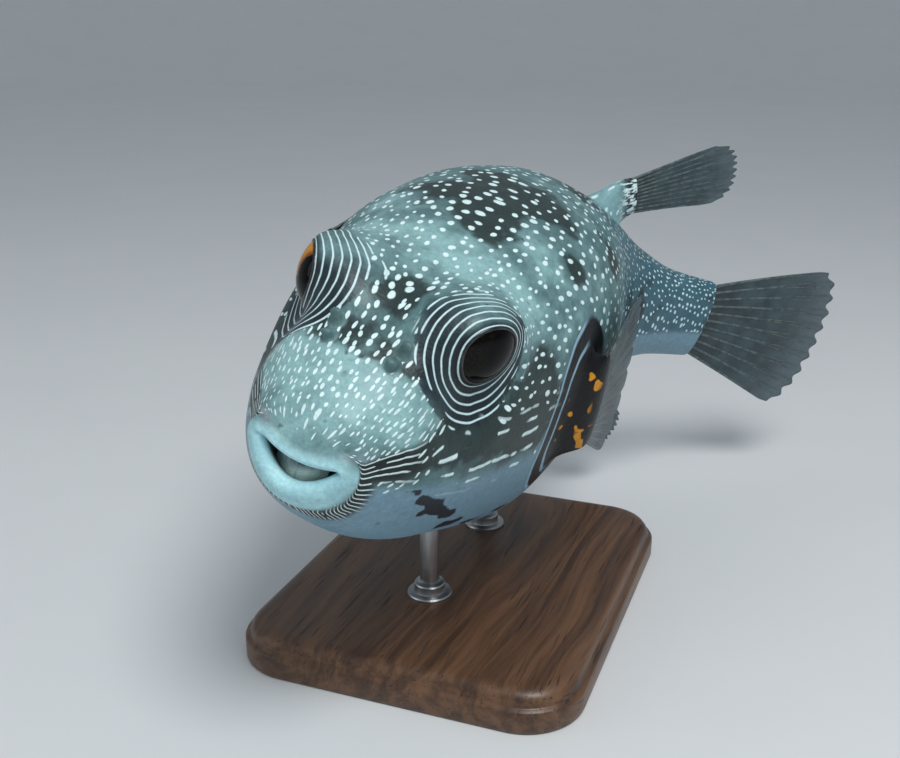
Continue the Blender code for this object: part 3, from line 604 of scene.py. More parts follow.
# Spots round the body, in rows: distance from the snout, number round the body
SPOT_COUNTS = ((-0.020, 42), (0.005, 47), (0.010, 54), (0.021, 66), (0.035, 70), (0.050, 66), (0.070, 62),
               (0.095, 56), (0.120, 58), (0.150, 64), (0.180, 50), (0.210, 36), (0.245, 28))
# Half length and half width of a spot in mm, at distances from the snout
SPOT_SIZES = ((-0.020, 0.36, 0.30), (0.006, 0.46, 0.28), (0.012, 0.62, 0.33), (0.022, 0.80, 0.37),
              (0.035, 0.82, 0.40), (0.055, 0.76, 0.46), (0.075, 0.92, 0.70), (0.095, 1.02, 0.80),
              (0.115, 0.94, 0.73), (0.150, 0.82, 0.62), (0.180, 0.60, 0.46), (0.245, 0.50, 0.36))
# Dark patches: distance from the snout, angle from the middle of the back, half length, half width, strength
DARK_PATCHES = (
    (0.0345, 0.00, 0.0095, 0.19, 1.0), (0.0215, 0.36, 0.0044, 0.34, 1.2),
    (0.0215, -0.36, 0.0044, 0.32, 1.2), (0.0710, 0.10, 0.0070, 0.20, 0.9),
    (0.0860, -0.30, 0.0120, 0.30, 1.0), (0.0930, 0.06, 0.0150, 0.20, 1.1),
    (0.0880, 0.62, 0.0080, 0.15, 1.0), (0.1050, 0.34, 0.0100, 0.17, 0.9),
    (0.1120, -0.12, 0.0110, 0.28, 0.9), (0.0560, 1.10, 0.0080, 0.34, 0.8),
    (0.0480, 1.46, 0.0220, 0.20, 1.3), (0.0270, 1.40, 0.0110, 0.15, 1.0),
    (0.0630, 1.30, 0.0080, 0.28, 1.0), (0.1250, 0.75, 0.0120, 0.22, 0.8),
    (0.1300, -0.70, 0.0140, 0.24, 0.9), (0.0560, -1.26, 0.0150, 0.34, 1.0),
    (0.1450, 0.15, 0.0100, 0.25, 0.7), (0.0330, -1.42, 0.0170, 0.17, 1.1),
    (0.1080, -1.00, 0.0120, 0.24, 0.8), (0.1500, 1.05, 0.0130, 0.30, 0.7),
    (0.1480, -1.15, 0.0120, 0.30, 0.7),
)
PALE_PATCHES = (
    (0.0560, 0.08, 0.0095, 0.42, 1.0), (0.0570, 0.66, 0.0070, 0.26, 0.9),
    (0.0570, -0.66, 0.0070, 0.26, 0.9), (0.0090, 0.00, 0.0090, 0.90, 0.8),
    (0.0160, 0.75, 0.0070, 0.50, 0.6), (0.0160, -0.75, 0.0070, 0.50, 0.6),
    (0.0780, 0.50, 0.0060, 0.22, 0.6), (0.0780, -0.62, 0.0070, 0.20, 0.6),
)
BELLY_BLOTS = (
    (0.0205, 1.72, 0.0030, 0.045, 1.0), (0.0240, 1.80, 0.0032, 0.060, 1.0),
    (0.0285, 1.87, 0.0034, 0.060, 1.1), (0.0330, 1.95, 0.0034, 0.060, 1.0),
    (0.0385, 2.03, 0.0040, 0.060, 1.0), (0.0270, 1.98, 0.0030, 0.050, 0.7),
    (0.0480, 2.22, 0.0060, 0.070, 0.8), (0.0620, 2.30, 0.0070, 0.060, 0.8),
    (0.0560, 2.60, 0.0080, 0.080, 0.7), (0.0800, 2.20, 0.0070, 0.060, 0.8),
    (0.0900, 2.62, 0.0080, 0.080, 0.7), (0.1080, 2.30, 0.0080, 0.070, 0.8),
)
PINK_PATCHES = ((0.0045, 1.22, 0.0034, 0.16, 1.0), (0.0045, -1.22, 0.0034, 0.16, 1.0))
# Rings round the eye: direction round the opening in degrees (0 back, 90 up), spacing, and how many
RING_SPACINGS = ((0, 1.6), (45, 1.6), (90, 1.7), (135, 2.1), (180, 2.05), (225, 2.0), (270, 2.1), (315, 1.8))
RING_COUNTS = ((0, 3.0), (45, 4.2), (90, 6.4), (135, 7.2), (180, 5.4), (225, 5.2), (270, 4.8), (315, 3.6))
# Share of a spacing already passed at the lid's edge, in the same directions
RING_STARTS = ((0, 0.1), (45, 0.2), (90, 0.2), (135, 0.2),
               (180, 0.15), (225, 0.05), (270, -0.15), (315, -0.15))
LINES_ROUND = 38                 # long dashes low on the flank, from the middle of the back to the belly


def rounds(table, degrees):
    """Value in a table of directions, read smoothly round the whole circle."""
    knots, values = np.array(table, float).T
    knots = np.concatenate([knots, [360.0]])
    values = np.concatenate([values, values[:1]])
    return np.interp(degrees % 360, knots, values)


def patches(table, station, angle):
    total = np.zeros_like(station)
    for place, turn, length, width, strength in table:
        total += strength * np.exp(-((station - place) / length) ** 2 - (wrapped(angle - turn) / width) ** 2)
    return total


def lid_curve(count):
    """Points of a lid's edge, in the eye's own directions."""
    turn = circle_turns(count)
    reach = np.where(np.sin(turn) > 0, LID_TOP_RADIUS, LID_LOW_RADIUS)
    back = LID_MIDDLE[0] + LID_SIDE_RADIUS * np.cos(turn)
    rise = LID_MIDDLE[1] + reach * np.sin(turn)
    ahead = EYE_HALF_DEPTH * np.sqrt(1 - (back ** 2 + rise ** 2) / EYE_RADIUS ** 2)
    return np.stack([ahead, back, rise], axis=1)


def eye_rings(points):
    """Ring phase, its direction as cosine and sine, and how many rings lie out that way."""
    phase = np.full(len(points), 99.0)
    heading = np.zeros((len(points), 2))
    count = np.full(len(points), 1.0)
    for side in (1, -1):
        placed = in_eye(points, side)
        near = np.linalg.norm(placed, axis=1) < RING_REACH
        curve = lid_curve(240)
        curve = curve + LID_COVER * unit(curve / np.square([EYE_HALF_DEPTH, EYE_RADIUS, EYE_RADIUS]))
        gaps = np.linalg.norm(placed[near, None] - curve[None], axis=2).min(axis=1)
        off = placed[near, 1:] - LID_MIDDLE
        turn = np.degrees(np.arctan2(off[:, 1], off[:, 0]))
        inside = lid_edge(placed[near])[0] < 0
        here = np.where(inside, -gaps, gaps) / MM / rounds(RING_SPACINGS, turn) + rounds(RING_STARTS, turn)
        better = here < phase[near]
        index = np.nonzero(near)[0][better]
        phase[index] = here[better]
        heading[index] = unit(off[better]) * (side, 1)
        count[index] = rounds(RING_COUNTS, turn)[better]
    return phase, heading, count


def spot_places(stations):
    """Row number of the spots along the body, and the number of them round it."""
    count = np.interp(stations, *zip(*SPOT_COUNTS))
    fine = np.linspace(-0.020, 0.246, 1000)
    back, belly, half = body_size(np.maximum(fine, 0.004))
    radius = (back + belly + 2 * half) / 4
    pace = np.interp(fine, *zip(*SPOT_COUNTS)) / (2 * math.pi * radius)
    along = np.concatenate([[0.0], np.cumsum((pace[1:] + pace[:-1]) / 2 * np.diff(fine))])
    return np.interp(stations, fine, along), count


def markings(points, stations, places, angles):
    """Everything that the skin's material needs to know about each point, by name, as rows of three."""
    turn = wrapped(angles)
    low = np.abs(turn)
    _, around = spot_places(stations)
    back, belly, half = body_size(np.maximum(stations, 0.004))
    cell = 2 * math.pi * (back + belly + 2 * half) / 4 / around / MM
    knots, lengths, widths = zip(*SPOT_SIZES)
    dark = patches(DARK_PATCHES, stations, turn)
    pale = patches(PALE_PATCHES, stations, turn)
    larger = (1 + 0.15 * np.minimum(dark, 1.0)) / cell
    length = np.interp(stations, knots, lengths) * larger
    width = np.interp(stations, knots, widths) * larger

    phase, heading, ring_count = eye_rings(points)
    ringed = smoothstep(ring_count + 0.55, ring_count + 0.45, phase)
    loosening = smoothstep(ring_count - 2.2, ring_count + 1.6, phase)
    trailing = smoothstep(ring_count + 2.3, ring_count + 1.6, phase)

    cheek = smoothstep(1.28, 1.42, low) * smoothstep(1.80, 1.70, low)
    cheek = cheek * smoothstep(0.014, 0.024, stations) * smoothstep(0.076, 0.062, stations)
    chin = smoothstep(0.0105, 0.0075, stations) * smoothstep(1.35, 1.55, low)
    whisker = smoothstep(0.023, 0.014, stations) * smoothstep(1.20, 1.30, low) * smoothstep(1.68, 1.56, low)
    chin = np.maximum(chin, whisker) * smoothstep(1.3, 1.8, places)
    lined = np.maximum(cheek, chin) * smoothstep(ring_count - 0.5, ring_count + 0.5, phase)
    belly_part = smoothstep(1.60, 1.76, low) * smoothstep(0.0060, 0.0100, stations)
    blots = patches(BELLY_BLOTS, stations, low)

    foot_back = (stations - PECTORAL_STATION + 0.001) / 0.0112
    foot_around = (low - PECTORAL_ANGLE) / 0.37
    out = np.hypot(foot_back, foot_around)
    fin_patch = smoothstep(1.46, 1.34, out)
    fin_rings = smoothstep(1.62, 1.52, out) * smoothstep(0.66, 0.76, out)
    fin_rings = fin_rings * smoothstep(0.0, -0.006, stations - PECTORAL_STATION)

    on_dorsal, _ = lobe_share(stations, turn, (*DORSAL_FOOT[:2], 0.0125, 0.24))
    on_anal, _ = lobe_share(stations, turn, (*ANAL_FOOT[:2], 0.0115, 0.24))
    base = np.maximum(smoothstep(1.15, 0.7, on_dorsal), smoothstep(1.15, 0.7, on_anal))
    end, outward, tall, across = median_frame(DORSAL_ROOT, DORSAL_LEAN)
    under_end, under_outward, under_tall, under_across = median_frame(ANAL_ROOT, ANAL_LEAN)
    above = (points - end) @ np.stack([outward, tall, across], axis=1)
    below = (points - under_end) @ np.stack([under_outward, under_tall, under_across], axis=1)
    tuft = np.where((on_dorsal < on_anal)[:, None], above, below) / MM
    nostril = np.minimum.reduce([lobe_share(stations, turn, (NOSTRIL_STATION + place * NOSTRIL_SPREAD,
                                                             s * NOSTRIL_ANGLE, *NOSTRIL_FOOT))[0]
                                 for place in (-1, 1) for s in (-1, 1)])

    lower = smoothstep(1.35, 1.75, low) * smoothstep(-0.6, 0.05, places) * smoothstep(1.7, 1.1, places)
    upper = smoothstep(1.75, 1.35, low) * smoothstep(-0.6, 0.05, places) * smoothstep(1.25, 0.45, places)
    inside = smoothstep(-0.15, -0.9, places)
    clear = 1 - smoothstep(1.8, 1.15, places)
    keep = clear * smoothstep(ring_count - 0.2, ring_count + 0.9, phase) * (1 - lined)
    keep = keep * (1 - fin_patch) * (1 - 0.75 * fin_rings) * (1 - belly_part) * smoothstep(0.8, 1.3, nostril)
    rear = smoothstep(0.120, 0.190, stations)
    return {
        "spot_shape": (length, width, keep),
        "eye_ring": (np.minimum(phase, 60.0), *(heading * RING_STRETCH).T),
        "eye_zone": (ringed, loosening, trailing),
        "line_zone": (lined, belly_part, chin),
        "fin_ring": (out * 2.55, np.arctan2(foot_around, foot_back), fin_rings),
        "patch": (dark, pale, fin_patch),
        "lips": (lower, upper, inside),
        "ends": (base, rear, smoothstep(1.25, 0.95, nostril)),
        "tuft": tuple(tuft.T),
        "place": (patches(PINK_PATCHES, stations, turn), low, blots),
    }


# ==== pieces ==========================================================================================


def to_world(points):
    """From the fish's own frame to the world."""
    x, y, z = np.moveaxis(points, -1, 0)
    c, s = math.cos(BANK), math.sin(BANK)
    return np.stack([x * c + z * s, y, z * c - x * s], axis=-1) + NOSE_PLACE


def new_object(name, points, faces, material):
    mesh = bpy.data.meshes.new(name)
    mesh.from_pydata([tuple(p) for p in np.asarray(points, float)], [], faces)
    mesh.shade_smooth()
    mesh.materials.append(material)
    obj = bpy.data.objects.new(name, mesh)
    bpy.context.scene.collection.objects.link(obj)
    return obj


def outward_faces(points, faces):
    """The same faces, all turned round if they point into the closed shape."""
    volume = 0.0
    for face in faces:
        for i in range(1, len(face) - 1):
            a, b, c = points[face[0]], points[face[i]], points[face[i + 1]]
            volume += a @ np.cross(b, c)
    return faces if volume > 0 else [tuple(reversed(face)) for face in faces]


def sheet_faces(rows, columns, closed=True):
    faces = []
    for i in range(rows - 1):
        for j in range(columns if closed else columns - 1):
            k = (j + 1) % columns
            faces.append((i * columns + j, i * columns + k, (i + 1) * columns + k, (i + 1) * columns + j))
    return faces


def tube_faces(rows, columns):
    """Faces of a closed tube of rows, whose two end points come after its rows."""
    first, last = rows * columns, rows * columns + 1
    faces = sheet_faces(rows, columns)
    start = (rows - 1) * columns
    for j in range(columns):
        k = (j + 1) % columns
        faces.append((first, k, j))
        faces.append((last, start + j, start + k))
    return faces


def tube(name, rings, material, ends=None):
    """Closed solid through rings of points, with a point in the middle of each end."""
    rings = np.asarray(rings)
    ends = np.array([rings[0].mean(axis=0), rings[-1].mean(axis=0)]) if ends is None else ends
    points = np.concatenate([rings.reshape(-1, 3), ends])
    faces = outward_faces(points, tube_faces(len(rings), rings.shape[1]))
    return new_object(name, points, faces, material)


def add_attribute(mesh, name, values, domain="POINT"):
    layer = mesh.attributes.new(name, "FLOAT_VECTOR", domain)
    layer.data.foreach_set("vector", np.asarray(values, np.float32).ravel())


def belongs(obj, slot, *nodes):
    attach(obj, "root")
    if nodes:
        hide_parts(*nodes)
    return obj


# ---- shader parts ------------------------------------------------------------------------------------

def tint(red, green, blue):
    """Linear colour of a paint given in 0 to 255."""
    return tuple((c / 255) ** 2.2 for c in (red, green, blue)) + (1.0,)


def join(tree, value, socket):
    if isinstance(value, bpy.types.NodeSocket):
        tree.links.new(value, socket)
    else:
        socket.default_value = value


def add(tree, kind, inputs=None, **settings):
    node = tree.nodes.new(kind)
    for key, value in settings.items():
        setattr(node, key, value)
    for key, value in (inputs or {}).items():
        join(tree, value, node.inputs[key])
    return node


def calc(tree, operation, *values):
    return add(tree, "ShaderNodeMath", dict(enumerate(values)), operation=operation).outputs[0]


def times(tree, first, second):
    return calc(tree, "MULTIPLY", first, second)


def plus(tree, first, second):
    return calc(tree, "ADD", first, second)


def minus(tree, first, second):
    return calc(tree, "SUBTRACT", first, second)


def ratio(tree, first, second):
    return calc(tree, "DIVIDE", first, second)


def greater(tree, first, second):
    return calc(tree, "MAXIMUM", first, second)


def scaled(tree, value, factor, offset):
    return calc(tree, "MULTIPLY_ADD", value, factor, offset)


def length_of(tree, x, y):
    return calc(tree, "POWER", plus(tree, times(tree, x, x), times(tree, y, y)), 0.5)


def ease(tree, low, high, value):
    """0 below `low` and 1 above `high`, the other way round where `low` is the greater."""
    inputs = {"Value": value, "From Min": low, "From Max": high}
    return add(tree, "ShaderNodeMapRange", inputs, interpolation_type="SMOOTHSTEP").outputs["Result"]


def mix(tree, share, first, second, kind="MIX"):
    inputs = {0: share, 6: first, 7: second}
    return add(tree, "ShaderNodeMix", inputs, data_type="RGBA", blend_type=kind).outputs[2]


def parts_of(tree, vector):
    return add(tree, "ShaderNodeSeparateXYZ", {0: vector}).outputs[:]


def vector_of(tree, *parts):
    return add(tree, "ShaderNodeCombineXYZ", dict(enumerate(parts))).outputs[0]


def stored(tree, name):
    return parts_of(tree, add(tree, "ShaderNodeAttribute", attribute_name=name).outputs["Vector"])


def noise(tree, place, scale, detail=2.0, roughness=0.5, stretch=0.0):
    inputs = {"Vector": place, "Scale": scale, "Detail": detail, "Roughness": roughness}
    inputs["Distortion"] = stretch
    return add(tree, "ShaderNodeTexNoise", inputs).outputs["Fac"]


def object_place(tree):
    return add(tree, "ShaderNodeTexCoord").outputs["Object"]


def new_group(name, inputs, outputs):
    tree = bpy.data.node_groups.new(name, "ShaderNodeTree")
    for label, kind in inputs.items():
        tree.interface.new_socket(name=label, in_out="INPUT", socket_type=f"NodeSocket{kind}")
    for label, kind in outputs.items():
        tree.interface.new_socket(name=label, in_out="OUTPUT", socket_type=f"NodeSocket{kind}")
    return tree, tree.nodes.new("NodeGroupInput").outputs, tree.nodes.new("NodeGroupOutput").inputs


def use(tree, group, **inputs):
    node = add(tree, "ShaderNodeGroup", node_tree=group)
    for key, value in inputs.items():
        join(tree, value, node.inputs[key])
    return node.outputs


def make_spots():
    """Oval spots in staggered rows, one to a cell: `Length` and `Width` are half sizes in cells."""
    tree, given, out = new_group(
        "staggered spots",
        {"Place": "Vector", "Length": "Float", "Width": "Float", "Keep": "Float"},
        {"Mask": "Float"},
    )
    x, y, _ = parts_of(tree, given["Place"])
    skewed = vector_of(tree, scaled(tree, y, -0.57735, x), times(tree, y, 1.1547), 0.0)
    cells = add(tree, "ShaderNodeTexVoronoi", {"Vector": skewed, "Scale": 1.0, "Randomness": 0.62},
                voronoi_dimensions="2D", feature="F1")
    cell_x, cell_y, _ = parts_of(tree, cells.outputs["Position"])
    chance, rank, _ = parts_of(tree, cells.outputs["Color"])
    off_x = minus(tree, x, scaled(tree, cell_y, 0.5, cell_x))
    off_y = minus(tree, y, times(tree, cell_y, 0.86603))
    present = ease(tree, rank, plus(tree, rank, 0.12), times(tree, given["Keep"], 1.12))
    size = times(tree, scaled(tree, chance, 0.55, 0.72), present)
    size = greater(tree, size, 0.001)
    across = ratio(tree, off_x, times(tree, given["Length"], size))
    over = ratio(tree, off_y, times(tree, given["Width"], size))
    reach = length_of(tree, across, over)
    join(tree, ease(tree, 1.20, 0.80, reach), out["Mask"])
    return tree


def make_lines():
    """Lines at each half of `Phase`, `Width` of a spacing to each side, and broken by `Breaks`."""
    tree, given, out = new_group(
        "broken lines",
        {"Phase": "Float", "Way": "Vector", "Width": "Float", "Breaks": "Float"},
        {"Mask": "Float"},
    )
    sway = minus(tree, noise(tree, given["Way"], 0.9, 1.0), 0.5)
    sway = times(tree, sway, ease(tree, 0.3, 2.0, given["Phase"]))
    phase = scaled(tree, sway, 0.42, given["Phase"])
    row = calc(tree, "FLOOR", phase)
    off = calc(tree, "ABSOLUTE", minus(tree, calc(tree, "FRACT", phase), 0.5))
    x, y, z = parts_of(tree, given["Way"])
    dashes = noise(tree, vector_of(tree, x, y, scaled(tree, row, 3.71, z)), 1.0, 0.6)
    limit = scaled(tree, given["Breaks"], 0.42, 0.16)
    gate = ease(tree, limit, plus(tree, limit, 0.07), dashes)
    width = times(tree, given["Width"], gate)
    mask = ease(tree, plus(tree, width, 0.06), minus(tree, width, 0.06), off)
    join(tree, times(tree, mask, gate), out["Mask"])
    return tree


def make_grain():
    """Fine pebbled grain: a height, and a shade that varies about 1."""
    tree, given, out = new_group(
        "fine grain",
        {"Place": "Vector", "Scale": "Float", "Depth": "Float"},
        {"Height": "Float", "Shade": "Float"},
    )
    pebbles = add(tree, "ShaderNodeTexVoronoi", {"Vector": given["Place"], "Scale": given["Scale"]},
                  feature="SMOOTH_F1").outputs["Distance"]
    soft = noise(tree, given["Place"], times(tree, given["Scale"], 0.35), 3.0, 0.6)
    height = minus(tree, times(tree, soft, 0.8), times(tree, pebbles, 0.6))
    join(tree, height, out["Height"])
    shade = scaled(tree, plus(tree, height, -0.1), given["Depth"], 1.0)
    join(tree, shade, out["Shade"])
    return tree


def new_material(name, **settings):
    material = bpy.data.materials.new(name)
    material.use_nodes = True
    shader = material.node_tree.nodes["Principled BSDF"]
    for key, value in settings.items():
        shader.inputs[key.replace("_", " ").title()].default_value = value
    return material, material.node_tree, shader


def paint(tree, shader, colour, rough=None):
    """Gives a shader its colour and, where it varies, its roughness."""
    join(tree, colour, shader.inputs["Base Color"])
    if rough is not None:
        join(tree, rough, shader.inputs["Roughness"])


def shaded(tree, colour, shade):
    """A colour made lighter or darker by a shade about 1."""
    grey = add(tree, "ShaderNodeCombineColor", {0: shade, 1: shade, 2: shade}).outputs[0]
    return mix(tree, 1.0, colour, grey, "MULTIPLY")


def bumped(tree, shader, height, depth, strength=1.0):
    bump = add(tree, "ShaderNodeBump", {"Height": height, "Distance": depth, "Strength": strength})
    join(tree, bump.outputs["Normal"], shader.inputs["Normal"])


# ---- finishes ----------------------------------------------------------------------------------------

TEAL = tint(82, 114, 117)
TEAL_PALE = tint(144, 186, 188)
OLIVE_DARK = tint(34, 46, 45)
LILAC = tint(176, 172, 186)
BLUE_BLACK = tint(30, 42, 48)
BLACK = tint(12, 15, 18)
SPOT_WHITE = tint(226, 252, 253)
LINE_WHITE = tint(196, 232, 242)
BLUE_WHITE = tint(150, 188, 210)
LIP_BRIGHT = tint(178, 228, 234)
LIP_BLUE = tint(126, 172, 190)
LIP_UPPER = tint(182, 232, 240)
LIP_CREAM = tint(222, 222, 190)
MOUTH_SHADE_GREY = tint(104, 130, 132)
BELLY_PALE_SHADED = tint(118, 152, 170)
BELLY_STREAK = tint(36, 46, 54)
REAR_BLUE = tint(58, 96, 114)
GOLD = tint(206, 138, 34)
IRIS_BROWN = tint(122, 74, 30)


def make_skin_finish(spots, lines, grain):
    """Blue-green skin with dark patches, white spots, rings, dashes and streaks, and pale lips."""
    material, tree, shader = new_material("spotted_skin", coat_weight=0.08, coat_roughness=0.25)
    shader.inputs["Specular IOR Level"].default_value = 0.28
    place = object_place(tree)
    middling = noise(tree, place, 120.0, 3.0, 0.55)
    patchy = noise(tree, place, 38.0, 2.0, 0.5)
    fleck = noise(tree, place, 700.0, 2.0, 0.6)
    uneven = minus(tree, middling, 0.5)
    grained = use(tree, grain, Place=place, Scale=1500.0, Depth=0.30)

    dark, pale, fin_patch = stored(tree, "patch")
    lower, upper, inside = stored(tree, "lips")
    base, rear, nostril = stored(tree, "ends")
    ring_phase, ring_back, ring_up = stored(tree, "eye_ring")
    ringed, loosening, trailing = stored(tree, "eye_zone")
    lined, belly, streaked = stored(tree, "line_zone")
    fin_phase, fin_turn, fin_rings = stored(tree, "fin_ring")
    length, width, keep = stored(tree, "spot_shape")
    along, around, turn = stored(tree, "spots")
    pinkish, low, blots = stored(tree, "place")

    # ground colour, pale to dark
    tone = scaled(tree, uneven, 1.3, scaled(tree, pale, 0.55, 0.38))
    colour = mix(tree, ease(tree, 0.15, 0.95, tone), TEAL, TEAL_PALE)
    colour = mix(tree, times(tree, rear, 0.80), colour, REAR_BLUE)
    body = ease(tree, 0.0, 0.6, scaled(tree, patchy, 1.0, rear))
    blotch = scaled(tree, minus(tree, patchy, 0.56), 2.2, times(tree, rear, 0.35))
    blotch = greater(tree, times(tree, blotch, body), 0.0)
    blotch = plus(tree, blotch, scaled(tree, uneven, 2.0, dark))
    blotch = minus(tree, blotch, times(tree, pale, 0.5))
    colour = mix(tree, times(tree, ease(tree, 0.30, 0.80, blotch), 0.92), colour, OLIVE_DARK)
    # the pale belly, darkened with painted shade of the underside
    colour = mix(tree, belly, colour, BELLY_PALE_SHADED)

    # dark ground between the rings of the eye, and black beside the ball: dark skin deepened there with
    # painted shade of the lid
    above = ease(tree, 0.9, 2.1, scaled(tree, uneven, 1.2, ring_up))
    ground = times(tree, scaled(tree, above, -0.62, 0.94), ringed)
    ground = times(tree, ground, ease(tree, 9.0, 4.5, scaled(tree, uneven, 3.0, ring_phase)))
    colour = mix(tree, ground, colour, BLUE_BLACK)
    # black band at the lid's edge: dark skin and painted shade of the lid
    colour = mix(tree, ease(tree, 1.6, 0.2, ring_phase), colour, BLACK)
    colour = mix(tree, fin_patch, colour, BLACK)
    out, tall, across = stored(tree, "tuft")
    bristled = vector_of(tree, times(tree, out, 0.16), times(tree, tall, 0.8), across)
    bristles = noise(tree, bristled, 1.0, 2.0, 0.6)
    colour = mix(tree, times(tree, base, 0.7), colour, TEAL_PALE)
    tip = times(tree, base, ease(tree, -7.5, -1.0, scaled(tree, bristles, 4.0, out)))
    colour = mix(tree, tip, colour, mix(tree, ease(tree, 0.46, 0.58, bristles), BLUE_BLACK, SPOT_WHITE))
    colour = mix(tree, times(tree, nostril, 0.75), colour, mix(tree, middling, BLUE_BLACK, TEAL_PALE))

    # rings, dashes and streaks
    ring_way = vector_of(tree, ring_back, ring_up, 0.0)
    ring_width = scaled(tree, loosening, 0.05, 0.105)
    rings = use(tree, lines, Phase=ring_phase, Way=ring_way, Width=ring_width, Breaks=loosening)["Mask"]
    rings = times(tree, rings, times(tree, trailing, ease(tree, 0.0, 0.2, ring_phase)))
    strip = times(tree, turn, LINES_ROUND / math.pi)
    way = vector_of(tree, times(tree, along, 0.62), low, 0.0)
    breaks = scaled(tree, streaked, -0.50, 0.82)
    dashes = use(tree, lines, Phase=strip, Way=way, Width=0.13, Breaks=breaks)["Mask"]
    dashes = times(tree, dashes, lined)
    fold = times(tree, pinkish, ease(tree, 0.25, 0.75, middling))
    colour = mix(tree, times(tree, fold, 0.6), colour, LILAC)
    colour = mix(tree, times(tree, streaked, 0.95), colour, BLACK)
    blotted = scaled(tree, uneven, 2.4, blots)
    colour = mix(tree, ease(tree, 0.42, 0.62, blotted), colour, BELLY_STREAK)
    fin_way = vector_of(tree, times(tree, fin_turn, 1.4), 0.0, 0.0)
    arcs = use(tree, lines, Phase=fin_phase, Way=fin_way, Width=0.11, Breaks=0.10)["Mask"]
    arcs = times(tree, arcs, fin_rings)

    warp = times(tree, minus(tree, noise(tree, place, 260.0, 1.0), 0.5), 0.28)
    spot_place = vector_of(tree, plus(tree, along, warp), plus(tree, around, warp), 0.0)
    spotted = use(tree, spots, Place=spot_place, Length=length, Width=width, Keep=keep)
    marks = greater(tree, spotted["Mask"], greater(tree, rings, dashes))
    white = mix(tree, scaled(tree, rear, 0.6, times(tree, rings, 0.5)), SPOT_WHITE, LINE_WHITE)
    colour = mix(tree, times(tree, marks, 0.95), colour, white)
    colour = mix(tree, times(tree, arcs, 0.9), colour, BLUE_WHITE)
    band = times(tree, ease(tree, 0.5, 0.8, fin_phase), ease(tree, 2.0, 1.6, fin_phase))
    glow = times(tree, ease(tree, 0.60, 0.64, noise(tree, place, 230.0, 1.0)), band)
    colour = mix(tree, times(tree, glow, minus(tree, 1.0, arcs)), colour, GOLD)

    # lips and mouth
    lip_shade = mix(tree, ease(tree, 0.35, 0.65, middling), LIP_BRIGHT, LIP_BLUE)
    colour = mix(tree, lower, colour, mix(tree, 0.35, LIP_BRIGHT, lip_shade))
    colour = mix(tree, upper, colour, LIP_UPPER)
    rim = times(tree, ease(tree, 0.02, 0.35, inside), ease(tree, 0.95, 0.45, inside))
    # deep in the mouth the colour turns grey as painted shade inside the pocket, with a cream band nearer
    # the lips
    throat = mix(tree, rim, MOUTH_SHADE_GREY, LIP_CREAM)
    colour = mix(tree, ease(tree, 0.0, 0.5, inside), colour, throat)

    colour = shaded(tree, colour, times(tree, grained["Shade"], scaled(tree, fleck, 0.5, 0.75)))
    paint(tree, shader, colour, scaled(tree, grained["Height"], 0.18, scaled(tree, marks, -0.04, 0.42)))
    raised = scaled(tree, greater(tree, marks, arcs), 0.55, grained["Height"])
    bumped(tree, shader, raised, 0.00022, 0.75)
    return material


def make_eye_finish():
    """Black pupil in a dark iris that is gold behind the pupil: real iris gold, painted only on the side
    where its sheen shows, so partly a painted sheen.
    """
    material, tree, shader = new_material("eye_gloss", coat_weight=0.1, coat_roughness=0.02)
    shader.inputs["Specular IOR Level"].default_value = 0.10
    back, rise, _ = stored(tree, "iris")
    reach = length_of(tree, back, rise)
    flecks = noise(tree, vector_of(tree, back, rise, 0.0), 1.1, 4.0, 0.7, 0.8)
    iris = mix(tree, ease(tree, 0.42, 0.75, flecks), tint(9, 9, 9), tint(34, 29, 18))
    uneven = scaled(tree, flecks, 1.0, reach)
    colour = mix(tree, ease(tree, 6.2, 7.2, uneven), tint(4, 4, 6), iris)
    slope = ratio(tree, rise, greater(tree, back, 0.1))
    # gold behind the pupil: iris colour and painted sheen
    iris_gold_and_sheen = times(tree, ease(tree, 0.0, 1.0, back), ease(tree, -0.55, -0.42, slope))
    iris_gold_and_sheen = times(tree, iris_gold_and_sheen, ease(tree, 5.9, 6.4, uneven))
    colour = mix(tree, iris_gold_and_sheen, colour, mix(tree, ease(tree, 8.6, 6.2, uneven), GOLD, IRIS_BROWN))
    paint(tree, shader, colour, scaled(tree, flecks, 0.05, 0.03))
    return material


def make_lid_finish(grain):
    """Nearly black, soft and slightly wet skin of the lid's rim."""
    material, tree, shader = new_material("lid_skin", roughness=0.35, coat_weight=0.3, coat_roughness=0.2)
    place = object_place(tree)
    grained = use(tree, grain, Place=place, Scale=2200.0, Depth=0.5)
    colour = mix(tree, ease(tree, 0.4, 0.7, noise(tree, place, 500.0)), tint(14, 18, 22), tint(40, 52, 58))
    paint(tree, shader, shaded(tree, colour, grained["Shade"]))
    bumped(tree, shader, grained["Height"], 0.0001, 0.5)
    return material


def make_enamel_finish():
    """Cream tooth plates with scattered brown stains and fine growth lines, turned grey higher up with
    painted shade under the upper lip.
    """
    material, tree, shader = new_material("beak_enamel", coat_weight=0.5, subsurface_weight=0.1)
    shader.inputs["Subsurface Radius"].default_value = (0.002, 0.0015, 0.001)
    place = object_place(tree)
    x, y, z = parts_of(tree, place)
    growth = noise(tree, vector_of(tree, times(tree, x, 0.25), y, times(tree, z, 3.0)), 900.0, 2.0)
    colour = mix(tree, ease(tree, 0.35, 0.75, growth), tint(206, 232, 228), tint(176, 206, 204))
    # grey above this height: painted shade of the upper plate under the upper lip
    colour = mix(tree, ease(tree, 0.0860, 0.0885, z), colour, tint(130, 152, 156))
    colour = mix(tree, ease(tree, 0.62, 0.80, noise(tree, place, 200.0, 2.0)), colour, tint(160, 134, 96))
    paint(tree, shader, colour, scaled(tree, growth, 0.2, 0.15))
    bumped(tree, shader, growth, 0.0001, 0.5)
    return material


